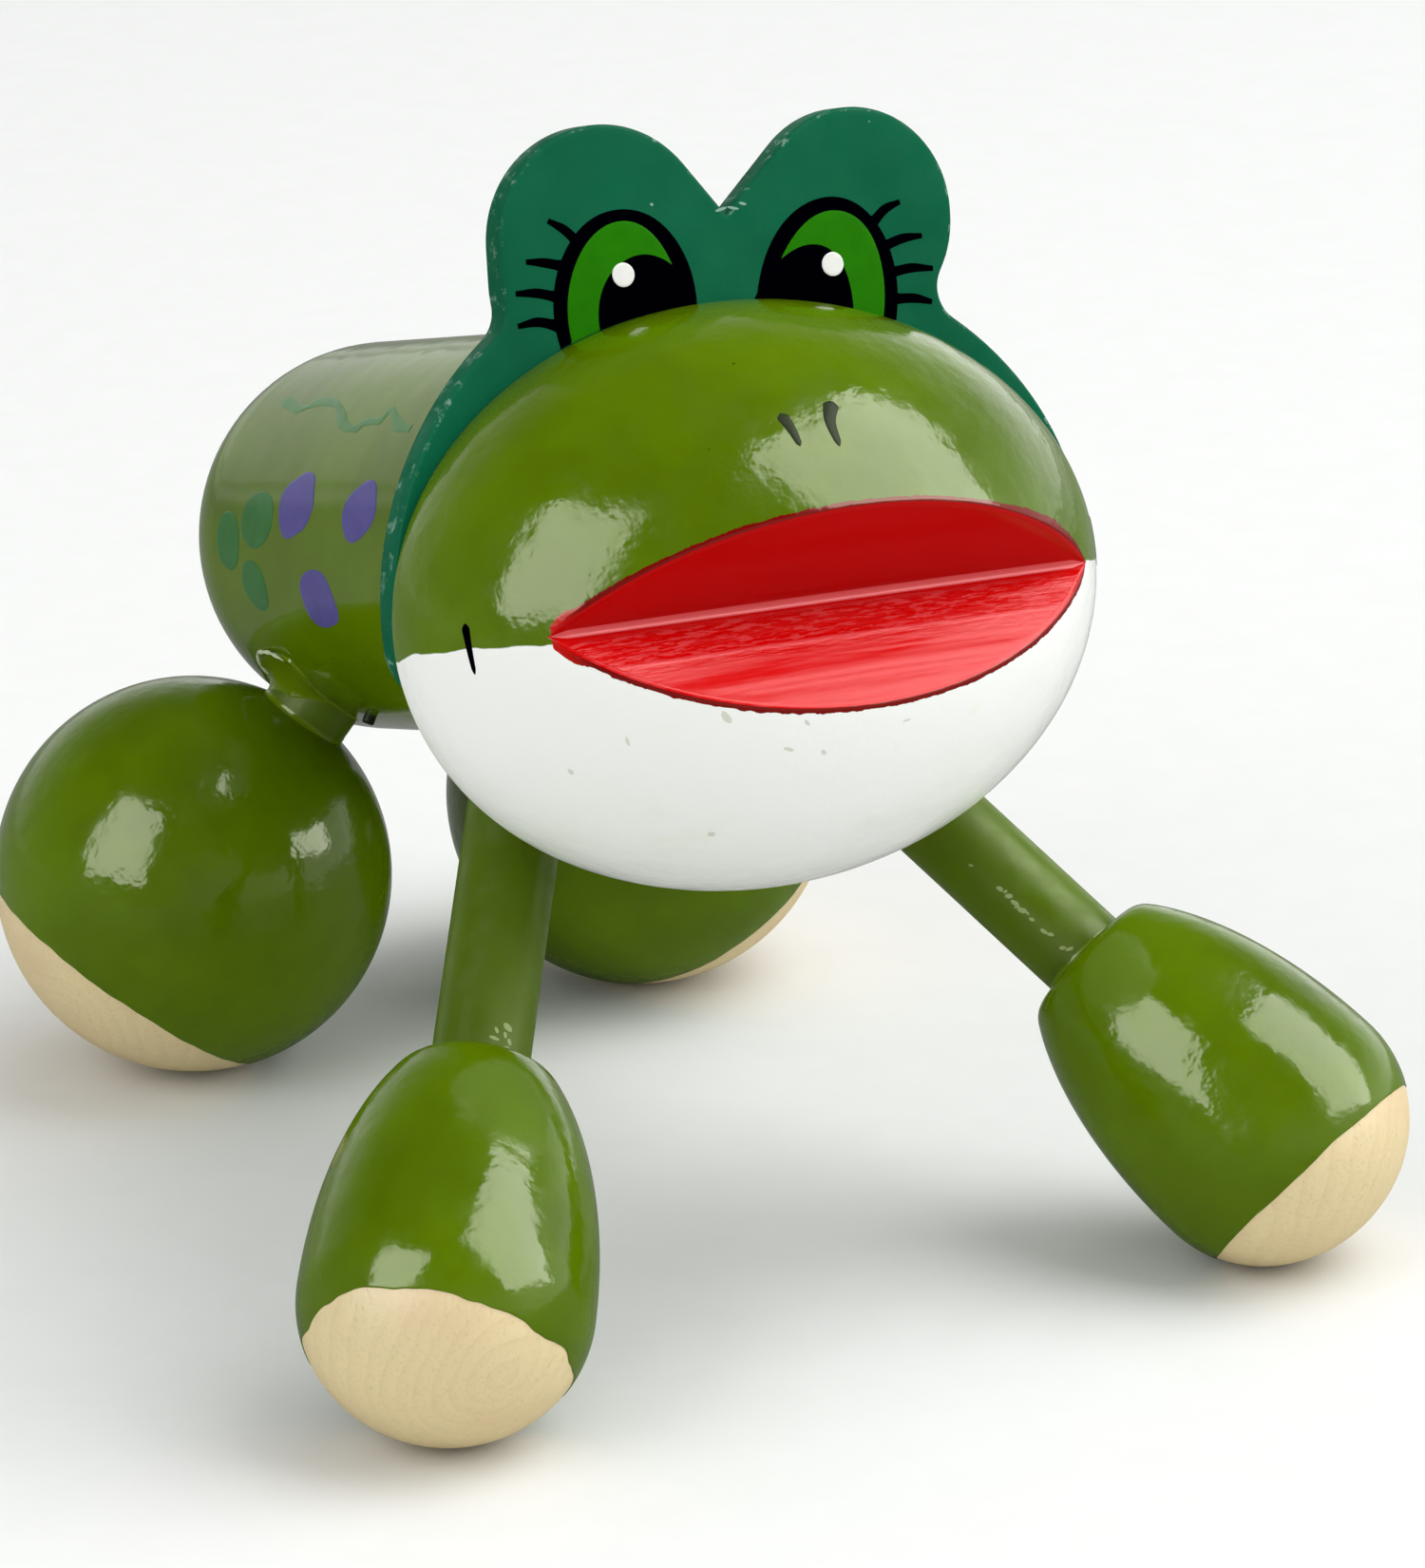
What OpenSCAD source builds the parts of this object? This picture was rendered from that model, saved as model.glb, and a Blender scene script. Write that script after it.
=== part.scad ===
// Turned wooden frog on four dowel legs, with a flat eye board between its head and its body.
// The frog faces -Y and stands on Z = 0. Left and right are the frog's own, so its left side is at +X.

/* [Body] */
// Diameter of the turned body
body_d = 34.5; // [30:0.5:40]
// Length of the body along its axis, from the flat front to the round tail
body_len = 81.5; // [70:0.5:95]
// Rounding of the front edge of the body
body_edge = 1.5; // [0.5:0.25:3]
// Nose-up tilt of the body axis, in degrees
body_tilt = 15.5; // [10:0.5:22]

/* [Head] */
// Width of the head, which is the length of the egg that it is cut from
head_w = 60; // [52:0.5:70]
// Height of the head, which is the diameter of that egg
head_h = 47.5; // [42:0.5:54]
// How far behind the middle of the egg the flat back is cut
head_behind = 2.8; // [0:0.2:6]
// How far the middle of the head lies below the body axis
head_drop = 5.2; // [2:0.2:9]
// Depth of the mouth from the front of the egg to the root of the V
mouth_depth = 9.4; // [5:0.2:11]
// How far the root of the mouth lies below the middle of the head
mouth_drop = 0.3; // [0:0.1:3]
// Angle of the upper face of the mouth above the head's own level, in degrees
mouth_up = 41; // [30:1:50]
// Angle of the lower face of the mouth below the head's own level, in degrees
mouth_down = 46; // [35:1:60]
// Turn of the mouth about the body axis, clockwise from the front, in degrees
mouth_turn = 1.8; // [0:0.2:4]

/* [Eye plate] */
// Thickness of the eye board
plate_t = 3; // [2:0.25:5]
// Width of the board behind the head
plate_w = 63; // [54:0.5:72]
// Height of the oval shoulder on the frog's right above the middle of the head
plate_rise = 29.5; // [24:0.5:31]
// Height of the oval shoulder on the frog's left above the middle of the head
plate_rise_left = 27; // [24:0.5:31]
// Depth of the board below the middle of the head
plate_fall = 12; // [8:0.5:18]
// Diameter of the eye lobe on the frog's right
lobe_d = 18.9; // [16:0.1:23]
// Diameter of the eye lobe on the frog's left
lobe_d_left = 17.5; // [16:0.1:23]
// Distance between the sides of the two lobes
lobe_gap = 4.4; // [1:0.2:6]
// Sideways shift of the two lobes past the notch, toward the frog's left
lobe_shift = 0.8; // [0:0.1:2]
// Length of the straight side below the round top of the lobe on the frog's right
lobe_side = 3; // [0:0.5:6]
// Length of the straight side below the round top of the lobe on the frog's left
lobe_side_left = 0.5; // [0:0.5:6]
// Height of the right lobe's centre above the middle of the head
lobe_height = 28.9; // [27:0.1:34]
// Height of the left lobe's centre above the middle of the head
lobe_height_left = 30.1; // [27:0.1:34]
// Height of the bottom of the notch between the lobes, above the middle of the head
notch_height = 30.6; // [28:0.2:35]
// Radius of the hollow where each lobe meets the shoulders
plate_hollow = 3; // [1:0.5:5]
// Turn of the two lobes on the board, clockwise from the front, in degrees
lobe_turn = 5; // [0:0.5:8]
// Sideways shift of the board toward the frog's left
plate_shift = 2; // [0:0.1:3]

/* [Legs] */
// Diameter of the leg dowels and of the neck dowel
dowel_d = 8; // [6:0.5:10]
// Chamfer on the ends of the dowels
dowel_chamfer = 0.6; // [0.2:0.1:1.2]
// Glue clearance round a dowel in its hole
glue_gap = 0.1; // [0.05:0.05:0.25]
// Glue clearance past the end of a dowel
end_gap = 0.4; // [0.2:0.1:1]
// Angle of a front leg out from the frog's middle plane, in degrees
front_splay = 27.5; // [24:0.1:34]
// Angle of a front leg forward from upright, in degrees
front_rake = 48.2; // [42:0.1:54]
// Angle of a rear leg out from the frog's middle plane, in degrees
rear_splay = 36.6; // [33:0.1:42]
// Angle of a rear leg backward from upright, in degrees
rear_rake = 9.4; // [0:0.1:16]
// Clear distance between the body and a rear ball
rear_gap = 0.1; // [0.1:0.1:5]
// Distance from the flat front to where the front legs aim, along the body axis
front_aim = 25.8; // [22:0.2:32]
// Height above the body axis that the front legs aim at
front_aim_up = 5.2; // [0:0.2:7]
// Distance from the flat front to where the rear legs aim, along the body axis
rear_aim = 55.4; // [48:0.2:60]
// Distance from its aim to the inner end of a front leg
front_root = 11; // [10:0.5:14]
// Distance from its aim to the inner end of a rear leg
rear_root = 8; // [7.5:0.5:10]
// Depth of the neck dowel in the body and in the head
neck_seat = 9; // [6:0.5:11]

/* [Front feet] */
// Largest diameter of a front foot
foot_d = 23.5; // [20:0.5:28]
// Length from the largest diameter to the round end
foot_crown = 11; // [9:0.5:14]
// Length from the largest diameter to the shoulder
foot_taper = 20.9; // [17:0.1:26]
// Diameter of the shoulder where the leg goes in
foot_shoulder_d = 12.2; // [11:0.2:16]
// Rounding of the shoulder's edge
foot_round = 1; // [0.4:0.2:1.4]
// Depth of the leg in a front foot
foot_seat = 12; // [8:0.5:16]

/* [Rear balls] */
// Diameter of a rear ball
ball_d = 35; // [30:0.5:42]
// Depth of the leg in a rear ball
ball_seat = 12; // [8:0.5:16]

/* [Hidden] */
$fn = 96;

paint_green = "olivedrab";
paint_teal = "seagreen";
paint_red = "firebrick";
bare_wood = "burlywood";

hole_d = dowel_d + 2 * glue_gap;
body_r = body_d / 2;
ball_r = ball_d / 2;
// Each lobe: distance from the notch, height, diameter, straight side, and the height of the shoulder beside it
lobe_right = [lobe_gap / 2 + lobe_d / 2 - lobe_shift, lobe_height, lobe_d, lobe_side, plate_rise];
lobe_left = [lobe_gap / 2 + lobe_d_left / 2 + lobe_shift, lobe_height_left, lobe_d_left, lobe_side_left,
             plate_rise_left];
// Number of times that a span is halved to find the place where two curves touch
halvings = 24;

// Directions of the body axis toward the tail, and square to it upward
tailward = [0, cos(body_tilt), -sin(body_tilt)];
upward = [0, sin(body_tilt), cos(body_tilt)];

function unit(v) = v / norm(v);

// Direction of a leg on the frog's left, from its splay and its rake toward the tail
function leg_way(splay, rake) = [sin(splay), cos(splay) * sin(rake), -cos(splay) * cos(rake)];
front_way = leg_way(front_splay, -front_rake);
rear_way = leg_way(rear_splay, rear_rake);

// Length of a rear leg's axis from its aim to the middle of the ball
rear_reach = (body_r + rear_gap + ball_r) / norm(cross(rear_way, tailward));

// The flat front of the body stands where the rear balls touch the ground
face_to_rear = rear_aim * tailward.y + rear_reach * rear_way.y;
face_height = ball_r - rear_aim * tailward.z - rear_reach * rear_way.z;

// Reach of a foot's round end from its middle toward a side, by the share of that side in the leg's way
function foot_end(share) = norm([foot_d / 2 * sqrt(1 - share * share), foot_crown * share]);

// Length of a front leg's axis from its aim to the middle of the foot, with the foot on the ground
front_aim_height = face_height + front_aim * tailward.z + front_aim_up * upward.z;
front_reach = (foot_end(front_way.z) - front_aim_height) / front_way.z;

// Level distances that the tail and the front feet stand out from the middle of the flat front
tail_end = (body_len - body_r) * tailward.y + body_r;
front_aim_back = front_aim * tailward.y + front_aim_up * upward.y;
toe_end = foot_end(front_way.y) - front_reach * front_way.y - front_aim_back;
// The middle of the frog's length is at Y = 0
face_y = (toe_end - max(tail_end, face_to_rear + ball_r)) / 2;

// A point on the frog's middle plane, given along the body axis from the flat front and above that axis
function middle_point(back, up) = [0, face_y, face_height] + back * tailward + up * upward;
front_aim_point = middle_point(front_aim, front_aim_up);
rear_aim_point = middle_point(rear_aim, 0);

front_leg_end = front_reach - foot_taper + foot_seat;
rear_leg_end = rear_reach - ball_r + ball_seat;

// Places +Z along a direction
module along(direction) {
  rotate([0, acos(direction.z), atan2(direction.y, direction.x)])
    children();
}

// The flat front of the body: +Z points to the nose, +Y is up and the origin is on the body axis
module at_face() {
  translate([0, face_y, face_height])
    rotate([90 - body_tilt, 0, 0])
      children();
}

// The middle of the head, in the same directions as the flat front
module at_head() {
  at_face()
    translate([0, -head_drop, plate_t + head_behind])
      children();
}

// A leg's own axis from its aim point, with +Z outward; side is 1 on the frog's left and -1 on its right
module at_leg(aim, way, side) {
  translate(aim)
    along([side * way.x, way.y, way.z])
      children();
}

// Round rod with chamfered ends, from Z = 0 up
module dowel(length) {
  r = dowel_d / 2;
  c = dowel_chamfer;
  rotate_extrude()
    polygon([[0, 0], [r - c, 0], [r, c], [r, length - c], [r - c, length], [0, length]]);
}

// Half of an oval on the side X >= 0, with its own half height above and below Y = 0
module half_oval(half_width, below, above) {
  for (part = [[-1, below], [1, above]])
    intersection() {
      scale([half_width, part[1]])
        circle(r = 1);
      translate([0, part[0] < 0 ? -part[1] : 0])
        square([half_width, part[1]]);
    }
}

module body() {
  straight = body_len - body_r;
  color(paint_green)
    difference() {
      at_face()
        rotate_extrude()
          union() {
            translate([0, -straight])
              square([body_r, straight - body_edge]);
            translate([0, -body_edge])
              square([body_r - body_edge, body_edge]);
            translate([body_r - body_edge, -body_edge])
              intersection() {
                circle(r = body_edge);
                square(body_edge);
              }
            translate([0, -straight])
              intersection() {
                circle(r = body_r);
                translate([0, -body_r])
                  square(body_r);
              }
          }
      for (side = [-1, 1]) {
        at_leg(front_aim_point, front_way, side)
          translate([0, 0, front_root - end_gap])
            cylinder(d = hole_d, h = body_d);
        at_leg(rear_aim_point, rear_way, side)
          translate([0, 0, rear_root - end_gap])
            cylinder(d = hole_d, h = body_d);
      }
      at_face()
        translate([0, 0, -neck_seat - end_gap])
          cylinder(d = hole_d, h = body_len);
    }
}

// Where the straight side of the notch runs tangent onto a lobe, on the side X > 0
function notch_tangent(lobe) =
  let (
    to_lobe = [lobe[0], lobe[1] - notch_height],
    far = norm(to_lobe),
    run = sqrt(far * far - lobe[2] * lobe[2] / 4),
    swing = atan2(to_lobe.y, to_lobe.x) + asin(lobe[2] / 2 / far)
  )
  [run * cos(swing), notch_height + run * sin(swing)];

// Centre of the round foot of a lobe that is turned outward and down by this angle, on the side X > 0
function lobe_foot(lobe, turn) =
  let (x = lobe[0], y = lobe[1] - lobe[3])
  [x * cos(turn) + y * sin(turn), y * cos(turn) - x * sin(turn)];

// Centre of a hollow that touches that foot from outside, at a place round it
function hollow_at(lobe, turn, place) =
  lobe_foot(lobe, turn) + (lobe[2] / 2 + plate_hollow) * [cos(place), sin(place)];
function past_oval(p, rise) =
  pow(p.x / (plate_w / 2 + plate_hollow), 2) + pow(p.y / (rise + plate_hollow), 2) > 1;
// Place at which the hollow also touches the oval, halved down from a span that holds it
function hollow_place(lobe, turn, low, high, passes) =
  let (mid = (low + high) / 2)
  passes == 0 ? mid
  : past_oval(hollow_at(lobe, turn, mid), lobe[4]) ? hollow_place(lobe, turn, low, mid, passes - 1)
  : hollow_place(lobe, turn, mid, high, passes - 1);

// Half of the board on the side X > 0, with its lobe turned outward and down by this angle
module plate_half(lobe, turn) {
  hollow = hollow_at(lobe, turn, hollow_place(lobe, turn, -80, 40, halvings));
  on_oval = [hollow.x * plate_w / (plate_w + 2 * plate_hollow),
             hollow.y * lobe[4] / (lobe[4] + plate_hollow)];
  half_oval(plate_w / 2, plate_fall, lobe[4]);
  difference() {
    polygon([[0, 0], on_oval, hollow, lobe_foot(lobe, turn)]);
    translate(hollow)
      circle(r = plate_hollow);
  }
  rotate(-turn)
    translate([lobe[0], lobe[1]]) {
      circle(d = lobe[2]);
      translate([-lobe[2] / 2, -lobe[3]])
        square([lobe[2], lobe[3]]);
      translate([0, -lobe[3]])
        circle(d = lobe[2]);
    }
}

module plate_outline() {
  on_left = notch_tangent(lobe_left);
  on_right = notch_tangent(lobe_right);
  plate_half(lobe_left, lobe_turn);
  mirror([1, 0])
    plate_half(lobe_right, -lobe_turn);
  rotate(-lobe_turn)
    polygon([[0, 0], [lobe_left[0], lobe_left[1]], on_left, [0, notch_height],
             [-on_right.x, on_right.y], [-lobe_right[0], lobe_right[1]]]);
}

module eye_plate() {
  color(paint_teal)
    at_face()
      difference() {
        translate([plate_shift, -head_drop, 0])
          linear_extrude(plate_t)
            plate_outline();
        translate([0, 0, -plate_t])
          cylinder(d = hole_d, h = 3 * plate_t);
      }
}

module head() {
  root = head_h / 2 - mouth_depth;
  color(paint_red)
    difference() {
      at_head()
        rotate([0, 90, 0])
          rotate_extrude()
            half_oval(head_h / 2, head_w / 2, head_w / 2);
      at_head()
        translate([-head_w, -head_h, -head_behind - head_h])
          cube([2 * head_w, 2 * head_h, head_h]);
      at_head()
        rotate(-mouth_turn)
          translate([head_w, -mouth_drop, root])
            rotate([0, -90, 0])
              linear_extrude(2 * head_w)
                polygon([[0, 0], head_h * [cos(mouth_up), sin(mouth_up)],
                         head_h * [cos(mouth_down), -sin(mouth_down)]]);
      at_face()
        cylinder(d = hole_d, h = plate_t + neck_seat + end_gap);
    }
}

module neck_dowel() {
  color(bare_wood)
    at_face()
      translate([0, 0, -neck_seat])
        dowel(plate_t + 2 * neck_seat);
}

module front_leg(side) {
  color(paint_green)
    at_leg(front_aim_point, front_way, side)
      translate([0, 0, front_root])
        dowel(front_leg_end - front_root);
}

module rear_leg(side) {
  color(paint_green)
    at_leg(rear_aim_point, rear_way, side)
      translate([0, 0, rear_root])
        dowel(rear_leg_end - rear_root);
}

// The foot's tapering side is an oval: its full length, and points on it by angle from the widest place
foot_oval = foot_taper / sqrt(1 - pow(foot_shoulder_d / foot_d, 2));
function on_taper(place) = [foot_d / 2 * cos(place), -foot_oval * sin(place)];
// Middle of the shoulder's rounding, which touches the taper from inside at a place
function round_at(place) =
  on_taper(place) - foot_round * unit([cos(place) / foot_d * 2, -sin(place) / foot_oval]);
// Place at which that rounding also touches the shoulder's flat, halved down from a span that holds it
function round_place(low, high, passes) =
  let (mid = (low + high) / 2)
  passes == 0 ? mid
  : round_at(mid).y < foot_round - foot_taper ? round_place(low, mid, passes - 1)
  : round_place(mid, high, passes - 1);

// Egg on the leg's axis, cut flat at the shoulder, with its largest diameter at Y = 0
module foot_outline() {
  place = round_place(0, 90, halvings);
  touch = on_taper(place);
  middle = round_at(place);
  intersection() {
    half_oval(foot_d / 2, foot_oval, foot_crown);
    translate([0, touch.y])
      square([foot_d, foot_crown - touch.y]);
  }
  polygon([[0, -foot_taper], [middle.x, -foot_taper], middle, touch, [0, touch.y]]);
  intersection() {
    translate(middle)
      circle(r = foot_round);
    polygon([middle, middle - [0, 2 * foot_round], middle + 2 * foot_round * [1, -1], 2 * touch - middle]);
  }
}

module front_foot(side) {
  color(paint_green)
    at_leg(front_aim_point, front_way, side)
      translate([0, 0, front_reach])
        difference() {
          rotate_extrude()
            foot_outline();
          translate([0, 0, -2 * foot_taper])
            cylinder(d = hole_d, h = foot_taper + foot_seat + end_gap);
        }
}

module rear_ball(side) {
  color(paint_green)
    at_leg(rear_aim_point, rear_way, side)
      translate([0, 0, rear_reach])
        difference() {
          sphere(r = ball_r);
          translate([0, 0, -ball_d])
            cylinder(d = hole_d, h = ball_r + ball_seat + end_gap);
        }
}

body();
eye_plate();
head();
neck_dowel();
front_leg(1);  // front_leg_left
front_leg(-1);  // front_leg_right
front_foot(1);  // front_foot_left
front_foot(-1);  // front_foot_right
rear_leg(1);  // rear_leg_left
rear_leg(-1);  // rear_leg_right
rear_ball(1);  // rear_ball_left
rear_ball(-1);  // rear_ball_right
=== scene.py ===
"""Looks of the painted wooden frog: fine meshes, paint and wood finishes, stage, light and camera.

Shapes are worked out in millimetres in each piece's own frame and written to Blender in metres.
"""

import logging
import math
from dataclasses import dataclass, field
from enum import Enum
from typing import Callable, Optional, Protocol, Sequence, Union

import bmesh
import bpy
import numpy as np
from mathutils import Matrix, Quaternion, Vector


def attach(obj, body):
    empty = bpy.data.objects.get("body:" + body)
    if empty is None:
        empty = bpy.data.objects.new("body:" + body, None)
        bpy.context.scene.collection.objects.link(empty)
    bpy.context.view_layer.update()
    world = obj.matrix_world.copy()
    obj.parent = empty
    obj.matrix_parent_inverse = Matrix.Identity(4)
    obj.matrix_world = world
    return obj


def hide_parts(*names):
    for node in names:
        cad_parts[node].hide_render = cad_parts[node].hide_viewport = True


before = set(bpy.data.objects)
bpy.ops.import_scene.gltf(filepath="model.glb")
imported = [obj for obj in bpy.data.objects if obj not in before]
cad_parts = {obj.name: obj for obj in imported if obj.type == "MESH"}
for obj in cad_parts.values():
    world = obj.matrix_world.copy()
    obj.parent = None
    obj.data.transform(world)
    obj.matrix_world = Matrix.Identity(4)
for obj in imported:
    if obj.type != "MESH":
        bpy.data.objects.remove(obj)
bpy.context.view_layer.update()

LOG = logging.getLogger("frog")
MM = 0.001
PER_METRE = 1000.0
TURN = 2 * math.pi
# Depth of the low ridge on the mouth's lower face, from the root, in millimetres
RIDGE_AT = 4.3
Array = np.ndarray
SlotChoice = Union[int, Sequence[int], Array]
Colour = tuple[float, float, float]


class Side(Enum):
    """The frog's own sides, as the sign of X."""

    LEFT = 1
    RIGHT = -1

    @property
    def word(self) -> str:
        """The side's name in a piece's name."""
        return self.name.lower()


class Slot(Enum):
    """Material slots of the record."""

    GREEN = "green_gloss"
    DIPPED = "dipped_gloss"
    HEAD = "head_gloss"
    TEAL = "teal_gloss"


# Measures and places


def unit(v: Array) -> Array:
    """Gives a vector its length of one."""
    return v / np.linalg.norm(v)


def place(origin: Array, x_axis: Array, y_axis: Array, z_axis: Array) -> Matrix:
    """Makes a piece's place from its origin in millimetres and its axes.

    Args:
        origin: The frame's origin in the frog's frame.
        x_axis: Direction of the frame's X.
        y_axis: Direction of the frame's Y.
        z_axis: Direction of the frame's Z.

    Returns:
        The matrix for a Blender object, in metres.
    """
    m = Matrix.Identity(4)
    for column, axis in enumerate((x_axis, y_axis, z_axis)):
        for row in range(3):
            m[row][column] = axis[row]
    for row in range(3):
        m[row][3] = origin[row] * MM
    return m


@dataclass(frozen=True)
class Stance:
    """Sizes that shape and place the pieces, in millimetres and degrees, as in the CAD model."""

    body_d: float = 34.5
    body_len: float = 81.5
    body_tilt: float = 15.5
    head_w: float = 60.0
    head_h: float = 47.5
    head_behind: float = 2.8
    head_drop: float = 5.2
    plate_t: float = 3.0
    front_splay: float = 27.5
    front_rake: float = 48.2
    rear_splay: float = 36.6
    rear_rake: float = 9.4
    rear_gap: float = 0.1
    front_aim: float = 25.8
    front_aim_up: float = 5.2
    rear_aim: float = 55.4
    dowel_d: float = 8.0
    foot_d: float = 23.5
    foot_crown: float = 11.0
    foot_taper: float = 20.9
    foot_shoulder_d: float = 12.2
    foot_round: float = 1.0
    ball_d: float = 35.0

    @property
    def dowel_r(self) -> float:
        """Radius of the dowels that the legs are made of."""
        return self.dowel_d / 2

    @property
    def tailward(self) -> Array:
        """Direction of the body axis toward the tail."""
        a = math.radians(self.body_tilt)
        return np.array([0.0, math.cos(a), -math.sin(a)])

    @property
    def upward(self) -> Array:
        """Direction square to the body axis, upward."""
        a = math.radians(self.body_tilt)
        return np.array([0.0, math.sin(a), math.cos(a)])

    def leg_way(self, side: Side, front: bool) -> Array:
        """Direction of a leg, outward and down.

        Args:
            side: The frog's side.
            front: True for a front leg.

        Returns:
            The unit direction.
        """
        splay = math.radians(self.front_splay if front else self.rear_splay)
        rake = math.radians(-self.front_rake if front else self.rear_rake)
        return np.array([side.value * math.sin(splay), math.cos(splay) * math.sin(rake),
                         -math.cos(splay) * math.cos(rake)])

    def foot_end(self, share: float) -> float:
        """Reach of a foot's round end toward a side, by that side's share in the leg's way."""
        return math.hypot(self.foot_d / 2 * math.sqrt(1 - share * share), self.foot_crown * share)

    @property
    def rear_reach(self) -> float:
        """Length of a rear leg's axis from the body axis to the middle of its ball."""
        across = np.linalg.norm(np.cross(self.leg_way(Side.LEFT, False), self.tailward))
        return (self.body_d / 2 + self.rear_gap + self.ball_d / 2) / across

    @property
    def face_height(self) -> float:
        """Height of the middle of the body's flat front."""
        way = self.leg_way(Side.LEFT, False)
        return self.ball_d / 2 - self.rear_aim * self.tailward[2] - self.rear_reach * way[2]

    @property
    def front_reach(self) -> float:
        """Length of a front leg's axis from its aim to the widest circle of its foot.

        Returns:
            The length that lets the foot touch the floor.
        """
        way = self.leg_way(Side.LEFT, True)
        aim_height = self.face_height + self.front_aim * self.tailward[2] + self.front_aim_up * self.upward[2]
        return (self.foot_end(way[2]) - aim_height) / way[2]

    @property
    def face(self) -> Array:
        """Middle of the body's flat front, with the middle of the frog's length at Y = 0.

        Returns:
            The point in the frog's frame.
        """
        way = self.leg_way(Side.LEFT, True)
        tail_end = (self.body_len - self.body_d / 2) * self.tailward[1] + self.body_d / 2
        aim_back = self.front_aim * self.tailward[1] + self.front_aim_up * self.upward[1]
        toe_end = self.foot_end(way[1]) - self.front_reach * way[1] - aim_back
        return np.array([0.0, (toe_end - tail_end) / 2, self.face_height])

    @property
    def head(self) -> Array:
        """Middle of the egg that the head is cut from."""
        return self.face - self.head_drop * self.upward - (self.plate_t + self.head_behind) * self.tailward

    def leg_aim(self, front: bool) -> Array:
        """Point on the middle plane that a pair of legs aims at.

        Args:
            front: True for the front legs.

        Returns:
            The point in the frog's frame.
        """
        if front:
            return self.face + self.front_aim * self.tailward + self.front_aim_up * self.upward
        return self.face + self.rear_aim * self.tailward

    def leg_end(self, side: Side, front: bool) -> Array:
        """Middle of a rear ball, or of the widest circle of a front foot."""
        reach = self.front_reach if front else self.rear_reach
        return self.leg_aim(front) + reach * self.leg_way(side, front)

    def face_place(self) -> Matrix:
        """The body's flat front: +Z to the nose, +Y up."""
        return place(self.face, np.array([1.0, 0, 0]), self.upward, -self.tailward)

    def head_place(self) -> Matrix:
        """The middle of the head: +Z to the nose, +Y up."""
        return place(self.head, np.array([1.0, 0, 0]), self.upward, -self.tailward)

    def leg_place(self, side: Side, front: bool) -> Matrix:
        """The end of a leg: +Z outward along the leg, +Y as far up as it can be.

        Args:
            side: The frog's side.
            front: True for a front leg.

        Returns:
            The place of the frame there.
        """
        z_axis = self.leg_way(side, front)
        x_axis = unit(np.cross(np.array([0.0, 0, 1]), z_axis))
        return place(self.leg_end(side, front), x_axis, np.cross(z_axis, x_axis), z_axis)


STANCE = Stance()


# Meshes


@dataclass
class Piece:
    """A named mesh in its own frame, in millimetres, with a slot for each face and marks on its points."""

    name: str
    points: list[Array] = field(default_factory=list)
    faces: list[tuple[int, ...]] = field(default_factory=list)
    slots: list[int] = field(default_factory=list)
    marks: dict[str, list[float]] = field(default_factory=dict)

    def add_grid(self, rows: Sequence[Sequence[Array]], slots: SlotChoice = 0, closed: bool = True,
                 first_pole: Optional[Array] = None, last_pole: Optional[Array] = None) -> None:
        """Adds a skin over rows of points.

        Args:
            rows: Rows of points, all of one length.
            slots: Material slot of every face, of each band between rows, or of each face of each band.
            closed: True where each row is a ring.
            first_pole: Point that closes the first row.
            last_pole: Point that closes the last row.
        """
        start, count, bands = len(self.points), len(rows[0]), len(rows) - 1
        for row in rows:
            self.points.extend(row)
        chosen = np.asarray(slots)
        chosen = np.broadcast_to(chosen[:, None] if chosen.ndim == 1 else chosen, (bands, count))
        for i in range(bands):
            for j in range(count if closed else count - 1):
                k = (j + 1) % count
                a, b = start + i * count, start + (i + 1) * count
                self.faces.append((a + j, a + k, b + k, b + j))
                self.slots.append(int(chosen[i, j]))
        last_row = start + bands * count
        for pole, base, band, order in ((first_pole, start, 0, 1), (last_pole, last_row, -1, -1)):
            if pole is not None:
                self.points.append(pole)
                top = len(self.points) - 1
                for j in range(count):
                    k = (j + 1) % count
                    self.faces.append((top, base + k, base + j)[::order])
                    self.slots.append(int(chosen[band, j]))

    def build(self, matrix: Matrix, materials: Sequence[bpy.types.Material], merge: float = 1e-6,
              sharp: float = math.radians(50)) -> bpy.types.Object:
        """Makes the Blender object and puts it in place.

        Args:
            matrix: Place of the piece's frame.
            materials: Materials in the order of the slot numbers.
            merge: Distance in metres below which points are joined.
            sharp: Angle beyond which an edge shades as sharp.

        Returns:
            The object, linked to the scene.
        """
        mesh = bpy.data.meshes.new(self.name)
        mesh.from_pydata([Vector(p) * MM for p in self.points], [], self.faces)
        for material in materials:
            mesh.materials.append(material)
        mesh.polygons.foreach_set("material_index", self.slots)
        for name, values in self.marks.items():
            mesh.attributes.new(name, "FLOAT", "POINT").data.foreach_set("value", values)
        bm = bmesh.new()
        bm.from_mesh(mesh)
        bmesh.ops.remove_doubles(bm, verts=bm.verts, dist=merge)
        bmesh.ops.dissolve_degenerate(bm, edges=bm.edges, dist=merge)
        bmesh.ops.recalc_face_normals(bm, faces=bm.faces)
        for face in bm.faces:
            face.smooth = True
        for edge in bm.edges:
            edge.smooth = len(edge.link_faces) < 2 or edge.calc_face_angle(0.0) < sharp
        bm.to_mesh(mesh)
        bm.free()
        obj = bpy.data.objects.new(self.name, mesh)
        bpy.context.scene.collection.objects.link(obj)
        obj.matrix_world = matrix
        return obj


def seat_piece(obj: bpy.types.Object, slot: Slot, *nodes: str) -> bpy.types.Object:
    """Fastens a piece to the frog and says what it stands for.

    Args:
        obj: The piece, in place.
        slot: Not used.
        nodes: CAD nodes that it replaces.

    Returns:
        The same object.
    """
    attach(obj, "root")
    if nodes:
        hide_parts(*nodes)
    LOG.info("%s: %d faces, for %s", obj.name, len(obj.data.polygons), ", ".join(nodes) or "no node")
    return obj


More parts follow.
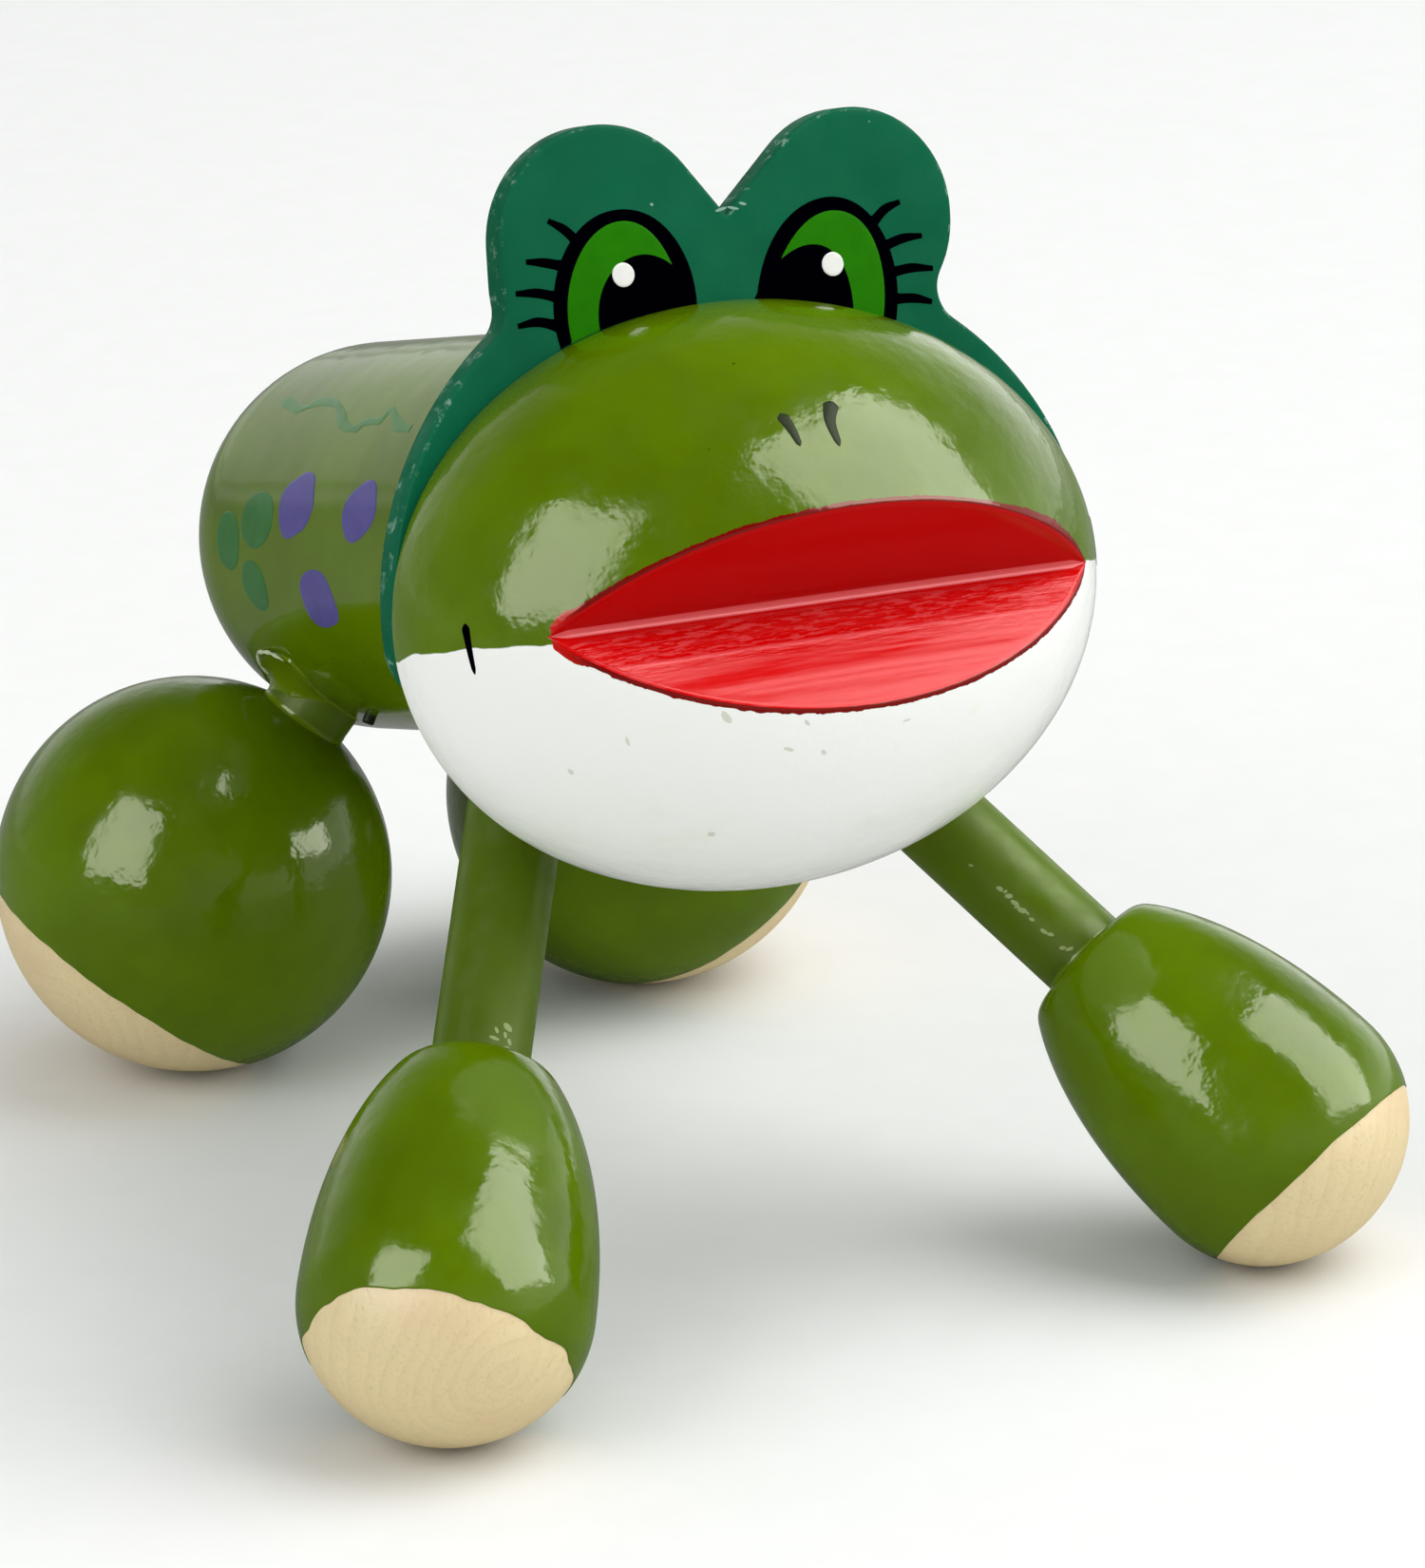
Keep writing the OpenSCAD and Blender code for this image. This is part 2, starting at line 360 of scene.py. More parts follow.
def bend(corner: Array, before: Array, after: Array, steps: int) -> list[Array]:
    """Rounds a corner with a short curve.

    Args:
        corner: The sharp corner.
        before: Where the curve starts.
        after: Where it ends.
        steps: Number of points, with both ends.

    Returns:
        Points along the curve.
    """
    t = np.linspace(0, 1, steps)[:, None]
    return list((1 - t) ** 2 * before + 2 * t * (1 - t) * corner + t ** 2 * after)


def distances(points: Array) -> Array:
    """Distance of each point of a line from the first, along the line."""
    return np.concatenate([[0], np.cumsum(np.linalg.norm(np.diff(points, axis=0), axis=1))])


def ripple(angle: Array, seed: int, waves: int = 7) -> Array:
    """A smooth closed wobble of about one unit, the same at each run.

    Args:
        angle: Angles round a ring, in radians.
        seed: Chooses the wobble.
        waves: Number of harmonics.

    Returns:
        The wobble at each angle.
    """
    rng = np.random.default_rng(seed)
    total = np.zeros_like(angle)
    for n in range(1, waves + 1):
        total += rng.normal() / n ** 0.8 * np.sin(n * angle + rng.uniform(0, TURN))
    return total / 1.6


# Shader nodes


class Nodes:
    """Adds and links the nodes of one tree."""

    def __init__(self, tree: bpy.types.NodeTree) -> None:
        """Starts on an empty or new tree."""
        self.tree = tree

    def feed(self, node: bpy.types.Node, inputs: dict) -> None:
        """Gives a node its inputs.

        Args:
            node: The node.
            inputs: Values or sockets for its inputs, by name or number.
        """
        for key, value in inputs.items():
            socket = node.inputs[key]
            if isinstance(value, bpy.types.NodeSocket):
                self.tree.links.new(value, socket)
            else:
                socket.default_value = value

    def add(self, kind: str, inputs: Optional[dict] = None, **settings: object) -> bpy.types.Node:
        """Adds a node.

        Args:
            kind: Blender's name for the node type.
            inputs: Values or sockets for its inputs, by name or number.
            settings: Attributes of the node.

        Returns:
            The node.
        """
        node = self.tree.nodes.new(kind)
        for name, value in settings.items():
            setattr(node, name, value)
        self.feed(node, inputs or {})
        return node

    def math(self, operation: str, a: object, b: object = 0.0) -> bpy.types.NodeSocket:
        """Adds a Math node and gives its output."""
        return self.add("ShaderNodeMath", {0: a, 1: b}, operation=operation).outputs[0]

    def times(self, a: object, b: object) -> bpy.types.NodeSocket:
        """Multiplies two values and gives the result."""
        return self.math("MULTIPLY", a, b)

    def plus(self, a: object, b: object) -> bpy.types.NodeSocket:
        """Adds two values and gives the result."""
        return self.math("ADD", a, b)

    def minus(self, a: object, b: object) -> bpy.types.NodeSocket:
        """Takes one value from another and gives the result."""
        return self.math("SUBTRACT", a, b)

    def mix(self, factor: object, a: object, b: object) -> bpy.types.NodeSocket:
        """Mixes two colours and gives the result."""
        return self.add("ShaderNodeMix", {0: factor, 6: a, 7: b}, data_type="RGBA").outputs[2]

    def span(self, value: object, low: float, high: float, to_low: float = 0.0,
             to_high: float = 1.0) -> bpy.types.NodeSocket:
        """Maps a value's range smoothly to another range.

        Args:
            value: The value or socket.
            low: Start of its range.
            high: End of its range.
            to_low: Result at the start.
            to_high: Result at the end.

        Returns:
            The mapped value, held at its ends.
        """
        node = self.add("ShaderNodeMapRange", {0: value, 1: low, 2: high, 3: to_low, 4: to_high},
                        interpolation_type="SMOOTHSTEP")
        return node.outputs[0]

    def noise(self, vector: object, size_mm: object, detail: float = 2.0,
              roughness: float = 0.5) -> bpy.types.NodeSocket:
        """Adds noise with features of this size and gives its value.

        Args:
            vector: Coordinates in metres.
            size_mm: Size of the features, in millimetres, or a socket that holds it.
            detail: Octaves of finer noise.
            roughness: Share of the finer noise.

        Returns:
            The noise value, about 0.5 in the middle.
        """
        linked = isinstance(size_mm, bpy.types.NodeSocket)
        scale = self.math("DIVIDE", PER_METRE, size_mm) if linked else PER_METRE / size_mm
        node = self.add("ShaderNodeTexNoise", {"Vector": vector, "Scale": scale, "Detail": detail,
                                               "Roughness": roughness})
        return node.outputs["Fac"]

    def stretched(self, vector: object, scale: Sequence[float]) -> bpy.types.NodeSocket:
        """Scales coordinates along each axis and gives the result."""
        return self.add("ShaderNodeMapping", {"Vector": vector, "Scale": scale}).outputs[0]

    def length(self, vector: object) -> bpy.types.NodeSocket:
        """Length of a vector."""
        return self.add("ShaderNodeVectorMath", {0: vector}, operation="LENGTH").outputs["Value"]

    def own(self) -> bpy.types.NodeSocket:
        """Coordinates in the piece's own frame, in metres."""
        return self.add("ShaderNodeTexCoord").outputs["Object"]

    def marked(self, name: str) -> bpy.types.NodeSocket:
        """Value of a mark on the piece's points."""
        return self.add("ShaderNodeAttribute", attribute_name=name).outputs["Fac"]

    def bump(self, shader: bpy.types.Node, height: object, tall_mm: float, strength: float = 1.0) -> None:
        """Gives a shader an uneven surface.

        Args:
            shader: The Principled shader.
            height: The surface's height, in shares.
            tall_mm: Height of one share, in millimetres.
            strength: Share of the effect.
        """
        node = self.add("ShaderNodeBump", {"Strength": strength, "Distance": tall_mm * MM, "Height": height})
        self.feed(shader, {"Normal": node.outputs[0]})


class GroupKind(Enum):
    """Effects that several materials share."""

    FILM = "PaintFilm"
    SPECKS = "DustSpecks"
    STREAKS = "BrushStreaks"
    GRAIN = "TurnedGrain"


GroupStart = tuple[Nodes, dict[str, bpy.types.NodeSocket], bpy.types.Node]


class Effects:
    """Builds each shared effect once, as a node group. Sizes are in millimetres."""

    TONE_SIZE, GLOSS_SIZE = 16.0, 3.5
    SWAY, SWAY_SIZE, RING_POWER = 3.5, 9.0, 2.5
    FIBRE_SIZE, PORE_SPACING = 0.35, 0.7

    def __init__(self) -> None:
        """Starts with no groups built."""
        self.built: dict[GroupKind, bpy.types.NodeTree] = {}
        self.makers: dict[GroupKind, Callable[[], bpy.types.NodeTree]] = {
            GroupKind.FILM: self.make_film, GroupKind.SPECKS: self.make_specks,
            GroupKind.STREAKS: self.make_streaks, GroupKind.GRAIN: self.make_grain}

    def place(self, nodes: Nodes, kind: GroupKind, **inputs: object) -> bpy.types.Node:
        """Puts an effect into a material.

        Args:
            nodes: The material's nodes.
            kind: Which effect.
            inputs: Its input values, with _ for a space in a name.

        Returns:
            The group node.
        """
        if kind not in self.built:
            self.built[kind] = self.makers[kind]()
        named = {name.replace("_", " "): value for name, value in inputs.items()}
        return nodes.add("ShaderNodeGroup", named, node_tree=self.built[kind])

    @staticmethod
    def start(kind: GroupKind, inputs: dict[str, float], outputs: Sequence[str]) -> GroupStart:
        """Starts a group with named sockets.

        Args:
            kind: Which effect.
            inputs: Names and first values of its inputs.
            outputs: Names of its outputs, all plain values.

        Returns:
            The group's nodes, its inputs by name, and its output node.
        """
        tree = bpy.data.node_groups.new(kind.value, "ShaderNodeTree")
        for name, value in inputs.items():
            socket = tree.interface.new_socket(name, in_out="INPUT", socket_type="NodeSocketFloat")
            socket.default_value = value
        for name in outputs:
            tree.interface.new_socket(name, in_out="OUTPUT", socket_type="NodeSocketFloat")
        nodes = Nodes(tree)
        entry = nodes.add("NodeGroupInput")
        return nodes, {name: entry.outputs[name] for name in inputs}, nodes.add("NodeGroupOutput")

    def make_film(self) -> bpy.types.NodeTree:
        """Brushed-on gloss paint: broad unevenness, orange peel, and a slow drift of tone.

        Returns:
            The group.
        """
        sizes = {"Wave Size": 7.0, "Peel Size": 0.9, "Peel Share": 0.12}
        nodes, given, out = self.start(GroupKind.FILM, sizes, ("Height", "Tone", "Gloss"))
        own = nodes.own()
        wave = nodes.noise(own, given["Wave Size"], 1.0)
        peel = nodes.noise(own, given["Peel Size"], 2.0)
        nodes.feed(out, {
            "Height": nodes.plus(wave, nodes.times(peel, given["Peel Share"])),
            "Tone": nodes.span(nodes.noise(own, self.TONE_SIZE, 3.0, 0.6), 0.25, 0.75),
            "Gloss": nodes.span(nodes.noise(own, self.GLOSS_SIZE, 3.0, 0.65), 0.3, 0.75),
        })
        return nodes.tree

    def make_specks(self) -> bpy.types.NodeTree:
        """Small specks of dust and pits in the paint.

        Returns:
            The group.
        """
        sizes = {"Spacing": 4.0, "Radius": 0.05, "Share": 0.3}
        nodes, given, out = self.start(GroupKind.SPECKS, sizes, ("Mask",))
        scale = nodes.math("DIVIDE", PER_METRE, given["Spacing"])
        cells = nodes.add("ShaderNodeTexVoronoi", {"Vector": nodes.own(), "Scale": scale})
        near = nodes.math("LESS_THAN", cells.outputs["Distance"], given["Radius"])
        lot = nodes.add("ShaderNodeSeparateColor", {0: cells.outputs["Color"]}).outputs[0]
        chosen = nodes.math("LESS_THAN", lot, given["Share"])
        nodes.feed(out, {"Mask": nodes.times(near, chosen)})
        return nodes.tree

    def make_streaks(self) -> bpy.types.NodeTree:
        """Brush streaks that run along the piece's X.

        Returns:
            The group.
        """
        nodes, given, out = self.start(GroupKind.STREAKS, {"Width": 0.5, "Along X": 1.0}, ("Height",))
        shape = nodes.add("ShaderNodeCombineXYZ", {0: given["Along X"], 1: 1.0, 2: 1.0}).outputs[0]
        run = nodes.add("ShaderNodeVectorMath", {0: nodes.own(), 1: shape}, operation="MULTIPLY")
        nodes.feed(out, {"Height": nodes.noise(run.outputs[0], given["Width"], 4.0, 0.6)})
        return nodes.tree

    def make_grain(self) -> bpy.types.NodeTree:
        """Pale wood: year rings about an axis off the piece's middle, fibres and pores along Z.

        Returns:
            The group.
        """
        sizes = {"Ring Pitch": 1.4, "Off X": 6.0, "Off Y": 4.0}
        nodes, given, out = self.start(GroupKind.GRAIN, sizes, ("Ring", "Fibre", "Pore"))
        own = nodes.own()
        off_x, off_y = (nodes.times(given[name], MM) for name in ("Off X", "Off Y"))
        middle = nodes.add("ShaderNodeCombineXYZ", {0: off_x, 1: off_y}).outputs[0]
        shifted = nodes.add("ShaderNodeVectorMath", {0: own, 1: middle}, operation="SUBTRACT").outputs[0]
        uneven = nodes.noise(nodes.stretched(shifted, (1, 1, 0.12)), self.SWAY_SIZE, 2.0)
        sway = nodes.times(uneven, self.SWAY * MM)
        reach = nodes.plus(nodes.length(nodes.stretched(shifted, (1, 1, 0.05))), sway)
        turns = nodes.math("DIVIDE", nodes.times(reach, PER_METRE), given["Ring Pitch"])
        cells = nodes.add("ShaderNodeTexVoronoi", {"Vector": nodes.stretched(own, (1, 1, 0.2)),
                                                   "Scale": PER_METRE / self.PORE_SPACING})
        nodes.feed(out, {
            "Ring": nodes.math("POWER", nodes.math("FRACT", turns), self.RING_POWER),
            "Fibre": nodes.noise(nodes.stretched(own, (1, 1, 0.08)), self.FIBRE_SIZE, 3.0, 0.65),
            "Pore": nodes.span(cells.outputs["Distance"], 0.10, 0.22, 1.0, 0.0),
        })
        return nodes.tree


EFFECTS = Effects()


def new_material(name: str) -> tuple[bpy.types.Material, Nodes, bpy.types.Node]:
    """Starts a material with a Principled shader.

    Args:
        name: The material's name.

    Returns:
        The material, its nodes, and the shader node.
    """
    material = bpy.data.materials.new(name)
    material.use_nodes = True
    nodes = Nodes(material.node_tree)
    shader = next(n for n in material.node_tree.nodes if n.type == "BSDF_PRINCIPLED")
    return material, nodes, shader


def rgba(colour: Colour, lift: float = 1.0) -> tuple[float, float, float, float]:
    """A colour written as sRGB shares, made linear for a shader, brighter or darker by a factor."""
    linear = [c / 12.92 if c <= 0.04045 else ((c + 0.055) / 1.055) ** 2.4 for c in colour]
    return (linear[0] * lift, linear[1] * lift, linear[2] * lift, 1.0)


@dataclass(frozen=True)
class GlossPaint:
    """Gloss paint on turned wood, brushed or dipped. Sizes are in millimetres."""

    name: str
    colour: Colour
    shade: float = 0.8
    light: float = 1.12
    roughness: float = 0.105
    rougher: float = 1.7
    wave_mm: float = 5.0
    peel_mm: float = 1.3
    peel_share: float = 0.3
    film_height: float = 0.17
    shine: float = 0.27
    tint: Colour = (1.0, 1.0, 0.82)
    speck_spacing: float = 5.0
    speck_radius: float = 0.028
    speck_share: float = 0.16
    speck_shade: float = 0.35

    def film(self, nodes: Nodes) -> bpy.types.Node:
        """Puts this paint's film into a material."""
        return EFFECTS.place(nodes, GroupKind.FILM, Wave_Size=self.wave_mm, Peel_Size=self.peel_mm,
                             Peel_Share=self.peel_share)

    def colour_of(self, nodes: Nodes, film: bpy.types.Node) -> bpy.types.NodeSocket:
        """The paint's colour with its slow drift of tone and its specks.

        Args:
            nodes: The material's nodes.
            film: The paint film group in the material.

        Returns:
            The colour.
        """
        tone = nodes.mix(film.outputs["Tone"], rgba(self.colour, self.shade), rgba(self.colour, self.light))
        specks = EFFECTS.place(nodes, GroupKind.SPECKS, Spacing=self.speck_spacing, Radius=self.speck_radius,
                               Share=self.speck_share)
        return nodes.mix(specks.outputs["Mask"], tone, rgba(self.colour, self.speck_shade))

    def finish(self, nodes: Nodes, shader: bpy.types.Node, film: bpy.types.Node) -> None:
        """Gives a shader the paint's gloss and uneven surface.

        Args:
            nodes: The material's nodes.
            shader: The Principled shader.
            film: The paint film group in the material.
        """
        rough = nodes.span(film.outputs["Gloss"], 0.0, 1.0, self.roughness, self.roughness * self.rougher)
        nodes.feed(shader, {"Specular IOR Level": self.shine, "Specular Tint": (*self.tint, 1.0),
                            "Roughness": rough})
        nodes.bump(shader, film.outputs["Height"], self.film_height)

    def make(self) -> bpy.types.Material:
        """Builds the material.

        Returns:
            The material.
        """
        material, nodes, shader = new_material(self.name)
        film = self.film(nodes)
        nodes.feed(shader, {"Base Color": self.colour_of(nodes, film)})
        self.finish(nodes, shader, film)
        return material


@dataclass(frozen=True)
class HeadPaint(GlossPaint):
    """Green above and white below a hand-painted line, with red run a little over the lips.

    Places and sizes are in millimetres in the head's frame, and ranges run from none to all of an effect.
    """

    white: Colour = (0.95, 0.955, 0.94)
    smudge: Colour = (0.90, 0.90, 0.80)
    smudge_share: float = 0.35
    red: Colour = (0.72, 0.0, 0.0)
    rim_shade: float = 0.36
    line_height: float = -0.6
    line_slope: float = -0.018
    line_sway: float = 1.1
    line_soft: float = 0.06
    back_range: tuple[float, float] = (2.0, -2.8)
    back_drop: float = 0.7
    lip_reach: tuple[float, float] = (0.04, 0.24)
    spill_range: tuple[float, float] = (12.0, 20.0)
    spill_reach: float = 0.45
    spill_rise: float = 3.0
    corner_range: tuple[float, float] = (-21.2, -23.4)
    corner_reach: float = 0.5

    def two_tone(self, nodes: Nodes, green: bpy.types.NodeSocket) -> bpy.types.NodeSocket:
        """The green and the white, parted by the painted line.

        Args:
            nodes: The material's nodes.
            green: The green paint's colour.

        Returns:
            The colour.
        """
        own = nodes.own()
        x, y, z = nodes.add("ShaderNodeSeparateXYZ", {0: own}).outputs
        sway = nodes.times(nodes.minus(nodes.noise(own, 5.0, 3.0), 0.5), self.line_sway * MM)
        level = nodes.plus(nodes.times(x, self.line_slope), self.line_height * MM)
        near, far = (v * MM for v in self.back_range)
        drop = nodes.span(z, near, far, 0.0, self.back_drop * MM)
        above = nodes.plus(nodes.minus(nodes.minus(y, level), sway), drop)
        smudged = nodes.times(nodes.span(nodes.noise(own, 9.0, 4.0, 0.7), 0.55, 0.8), self.smudge_share)
        white = nodes.mix(smudged, rgba(self.white), rgba(self.smudge))
        return nodes.mix(nodes.span(above, -self.line_soft * MM, self.line_soft * MM), white, green)

    def make(self) -> bpy.types.Material:
        """Builds the material.

        Returns:
            The material.
        """
        material, nodes, shader = new_material(self.name)
        film = self.film(nodes)
        two_tone = self.two_tone(nodes, self.colour_of(nodes, film))
        own = nodes.own()
        x, y, _ = nodes.add("ShaderNodeSeparateXYZ", {0: own}).outputs
        ragged = nodes.span(nodes.noise(own, 0.9, 4.0, 0.6), 0.35, 0.8, *self.lip_reach)
        spill = nodes.times(nodes.span(x, *(v * MM for v in self.spill_range), 0.0, self.spill_reach),
                            nodes.span(y, 0.0, self.spill_rise * MM))
        corner = nodes.span(x, *(v * MM for v in self.corner_range))
        reach = nodes.plus(nodes.plus(ragged, nodes.times(corner, self.corner_reach)), spill)
        over = nodes.math("LESS_THAN", nodes.marked("lip"), reach)
        red = nodes.mix(corner, rgba(self.red, self.rim_shade), rgba(self.red))
        nodes.feed(shader, {"Base Color": nodes.mix(over, two_tone, red)})
        self.finish(nodes, shader, film)
        return material


DepthRange = tuple[float, float]


@dataclass(frozen=True)
class MouthPaint(GlossPaint):
    """Red gloss brushed over the saw lines of the mouth: smooth above, dimpled below near the root.

    The upper face is painted darker, as painted shade. The lower face carries painted reflection: a pink
    sheen, pink flecks, and pale painted highlights along the root and the ridge. Depths are in millimetres
    from the mouth's root down its lower face.
    """

    # Pale pink of the painted reflection, sheen and highlights on the lower face
    bright: Colour = (0.845, 0.235, 0.245)
    # Pale pink painted highlight along the mouth's root
    root: Colour = (0.92, 0.42, 0.43)
    root_highlight_share: float = 0.7
    # Upper face painted darker than the lower one: painted shade
    upper_painted_shade: float = 0.7
    dimple_mm: float = 0.36
    brush_mm: float = 1.5
    brush_height: float = 1.5
    lower_depths: DepthRange = (0.05, 0.5)
    # Depths where the pink flecks of painted reflection come in and go, and their share
    reflection_fleck_depths: tuple[DepthRange, DepthRange] = ((0.7, 1.2), (3.4, 6.0))
    reflection_fleck_share: float = 0.9
    dimple_depths: tuple[DepthRange, DepthRange] = ((0.6, 1.2), (3.6, 6.5))
    # Depths and share of the painted pink sheen on the outer band
    painted_sheen_depths: DepthRange = (4.4, 6.0)
    painted_sheen_share: float = 0.48
    # Half width of the painted highlight along the ridge
    ridge_half: DepthRange = (0.08, 0.32)

    @staticmethod
    def between(nodes: Nodes, depth: bpy.types.NodeSocket, ranges: tuple[DepthRange, DepthRange],
                left: float) -> bpy.types.NodeSocket:
        """Mask of a stretch of the lower face.

        Args:
            nodes: The material's nodes.
            depth: Depth from the mouth's root.
            ranges: Depths over which the stretch comes in, and over which it goes.
            left: Share that is left past its end.

        Returns:
            The mask.
        """
        start, end = ranges
        return nodes.times(nodes.span(depth, *start), nodes.span(depth, *end, 1.0, left))

    def make(self) -> bpy.types.Material:
        """Builds the material.

        Returns:
            The material.
        """
        material, nodes, shader = new_material(self.name)
        depth = nodes.marked("mouth")
        dimples = EFFECTS.place(nodes, GroupKind.STREAKS, Width=self.dimple_mm, Along_X=0.2).outputs["Height"]
        broad = EFFECTS.place(nodes, GroupKind.STREAKS, Width=self.brush_mm, Along_X=0.07).outputs["Height"]
        lower = nodes.span(depth, *self.lower_depths)
        # Pink flecks of painted reflection near the root
        painted_reflection_flecks = nodes.times(nodes.span(dimples, 0.50, 0.57, 0.0, self.reflection_fleck_share),
                              self.between(nodes, depth, self.reflection_fleck_depths, 0.1))
        # Painted pink sheen over the outer band
        painted_sheen = nodes.times(nodes.span(broad, 0.42, 0.56, 0.0, self.painted_sheen_share),
                            nodes.span(depth, *self.painted_sheen_depths))
        # Painted highlight along the ridge of the lower face
        off_ridge = nodes.math("ABSOLUTE", nodes.minus(depth, RIDGE_AT))
        ridge = nodes.times(nodes.span(off_ridge, *self.ridge_half, 1.0, 0.0), nodes.span(broad, 0.36, 0.48))
        # All the painted light of the lower face: ridge highlight, reflection flecks and sheen
        pale = nodes.math("MAXIMUM", ridge, nodes.math("MAXIMUM", painted_reflection_flecks, painted_sheen))
        # Red turns pale pink where light is painted
        brushed = nodes.mix(pale, rgba(self.colour, self.shade), rgba(self.bright))
        # The upper face takes the darker red of the painted shade
        colour = nodes.mix(lower, rgba(self.colour, self.upper_painted_shade), brushed)
        # Pale pink painted highlight along the root
        colour = nodes.mix(nodes.span(depth, -0.95, -0.35, self.root_highlight_share, 0.0), colour, rgba(self.root))
        uneven = nodes.times(lower, nodes.span(broad, 0.35, 0.7))
        rough = nodes.span(uneven, 0.0, 1.0, self.roughness, self.roughness * self.rougher)
        nodes.feed(shader, {"Base Color": colour, "Specular IOR Level": self.shine,
                            "Specular Tint": (*self.tint, 1.0), "Roughness": rough})
        dimpled = self.between(nodes, depth, self.dimple_depths, 0.12)
        height = nodes.times(dimpled, nodes.plus(dimples, nodes.times(broad, self.brush_height)))
        nodes.bump(shader, height, self.film_height)
        return material


@dataclass(frozen=True)
class BoardPaint(GlossPaint):
    """Satin paint on the flat board, thinner and paler where wear is given."""

    wear: float = 0.0
    chip: Colour = (0.62, 0.74, 0.68)
    chip_mm: float = 1.3
    dust_share: float = 0.5

    def make(self) -> bpy.types.Material:
        """Builds the material.

        Returns:
            The material.
        """
        material, nodes, shader = new_material(self.name)
        film = self.film(nodes)
        chips = nodes.span(nodes.noise(nodes.own(), self.chip_mm, 5.0, 0.7), 0.60 - 0.1 * self.wear, 0.68)
        worn = nodes.mix(nodes.times(chips, self.wear), self.colour_of(nodes, film), rgba(self.chip))
        dust = EFFECTS.place(nodes, GroupKind.SPECKS, Spacing=2.6, Radius=0.03, Share=0.2).outputs["Mask"]
        dusty = nodes.mix(nodes.times(dust, self.dust_share), worn, rgba(self.chip))
        nodes.feed(shader, {"Base Color": dusty})
        self.finish(nodes, shader, film)
        return material


@dataclass(frozen=True)
class BareWood:
    """Pale close-grained wood, sanded on the lathe."""

    name: str
    early: Colour = (0.872, 0.798, 0.612)
    late: Colour = (0.78, 0.683, 0.497)
    blush: Colour = (0.82, 0.695, 0.54)
    ring_share: float = 0.2
    fibre_share: float = 0.3
    fibre_shade: float = 0.86
    pore_share: float = 0.12
    pore_shade: float = 0.6
    pore_depth: float = -0.8
    blush_mm: float = 8.0
    blush_share: float = 0.35
    roughness: float = 0.55
    smoother: float = 0.8
    relief: float = 0.03
    relief_share: float = 0.6

    def make(self) -> bpy.types.Material:
        """Builds the material.

        Returns:
            The material.
        """
        material, nodes, shader = new_material(self.name)
        ring, fibre, pore = EFFECTS.place(nodes, GroupKind.GRAIN).outputs
        ringed = nodes.mix(nodes.times(ring, self.ring_share), rgba(self.early), rgba(self.late))
        fibred = nodes.mix(nodes.span(fibre, 0.45, 0.8, 0.0, self.fibre_share), ringed,
                           rgba(self.late, self.fibre_shade))
        pored = nodes.mix(nodes.times(pore, self.pore_share), fibred, rgba(self.late, self.pore_shade))
        patches = nodes.span(nodes.noise(nodes.own(), self.blush_mm, 2.0), 0.4, 0.75, 0.0, self.blush_share)
        rough = nodes.span(ring, 0.0, 1.0, self.roughness, self.roughness * self.smoother)
        nodes.feed(shader, {"Base Color": nodes.mix(patches, pored, rgba(self.blush)), "Roughness": rough})
        height = nodes.plus(fibre, nodes.times(pore, self.pore_depth))
        nodes.bump(shader, height, self.relief, self.relief_share)
        return material


@dataclass(frozen=True)
class MarkPaint:
    """Thick paint of a brushed mark, such as an eye or a spot. Sizes are in millimetres."""

    name: str
    colour: Colour
    shade: float = 0.85
    roughness: float = 0.35
    rougher: float = 1.6
    shine: float = 0.15
    wave_mm: float = 2.5
    peel_mm: float = 0.4
    peel_share: float = 0.3
    film_height: float = 0.04

    def make(self) -> bpy.types.Material:
        """Builds the material.

        Returns:
            The material.
        """
        material, nodes, shader = new_material(self.name)
        film = EFFECTS.place(nodes, GroupKind.FILM, Wave_Size=self.wave_mm, Peel_Size=self.peel_mm,
                             Peel_Share=self.peel_share)
        gloss = film.outputs["Gloss"]
        rough = nodes.span(gloss, 0.0, 1.0, self.roughness, self.roughness * self.rougher)
        colour = nodes.mix(gloss, rgba(self.colour, self.shade), rgba(self.colour))
        nodes.feed(shader, {"Base Color": colour, "Specular IOR Level": self.shine, "Roughness": rough})
        nodes.bump(shader, film.outputs["Height"], self.film_height)
        return material


OLIVE: Colour = (0.325, 0.43, 0.0)
PLAIN: Colour = (1.0, 1.0, 1.0)


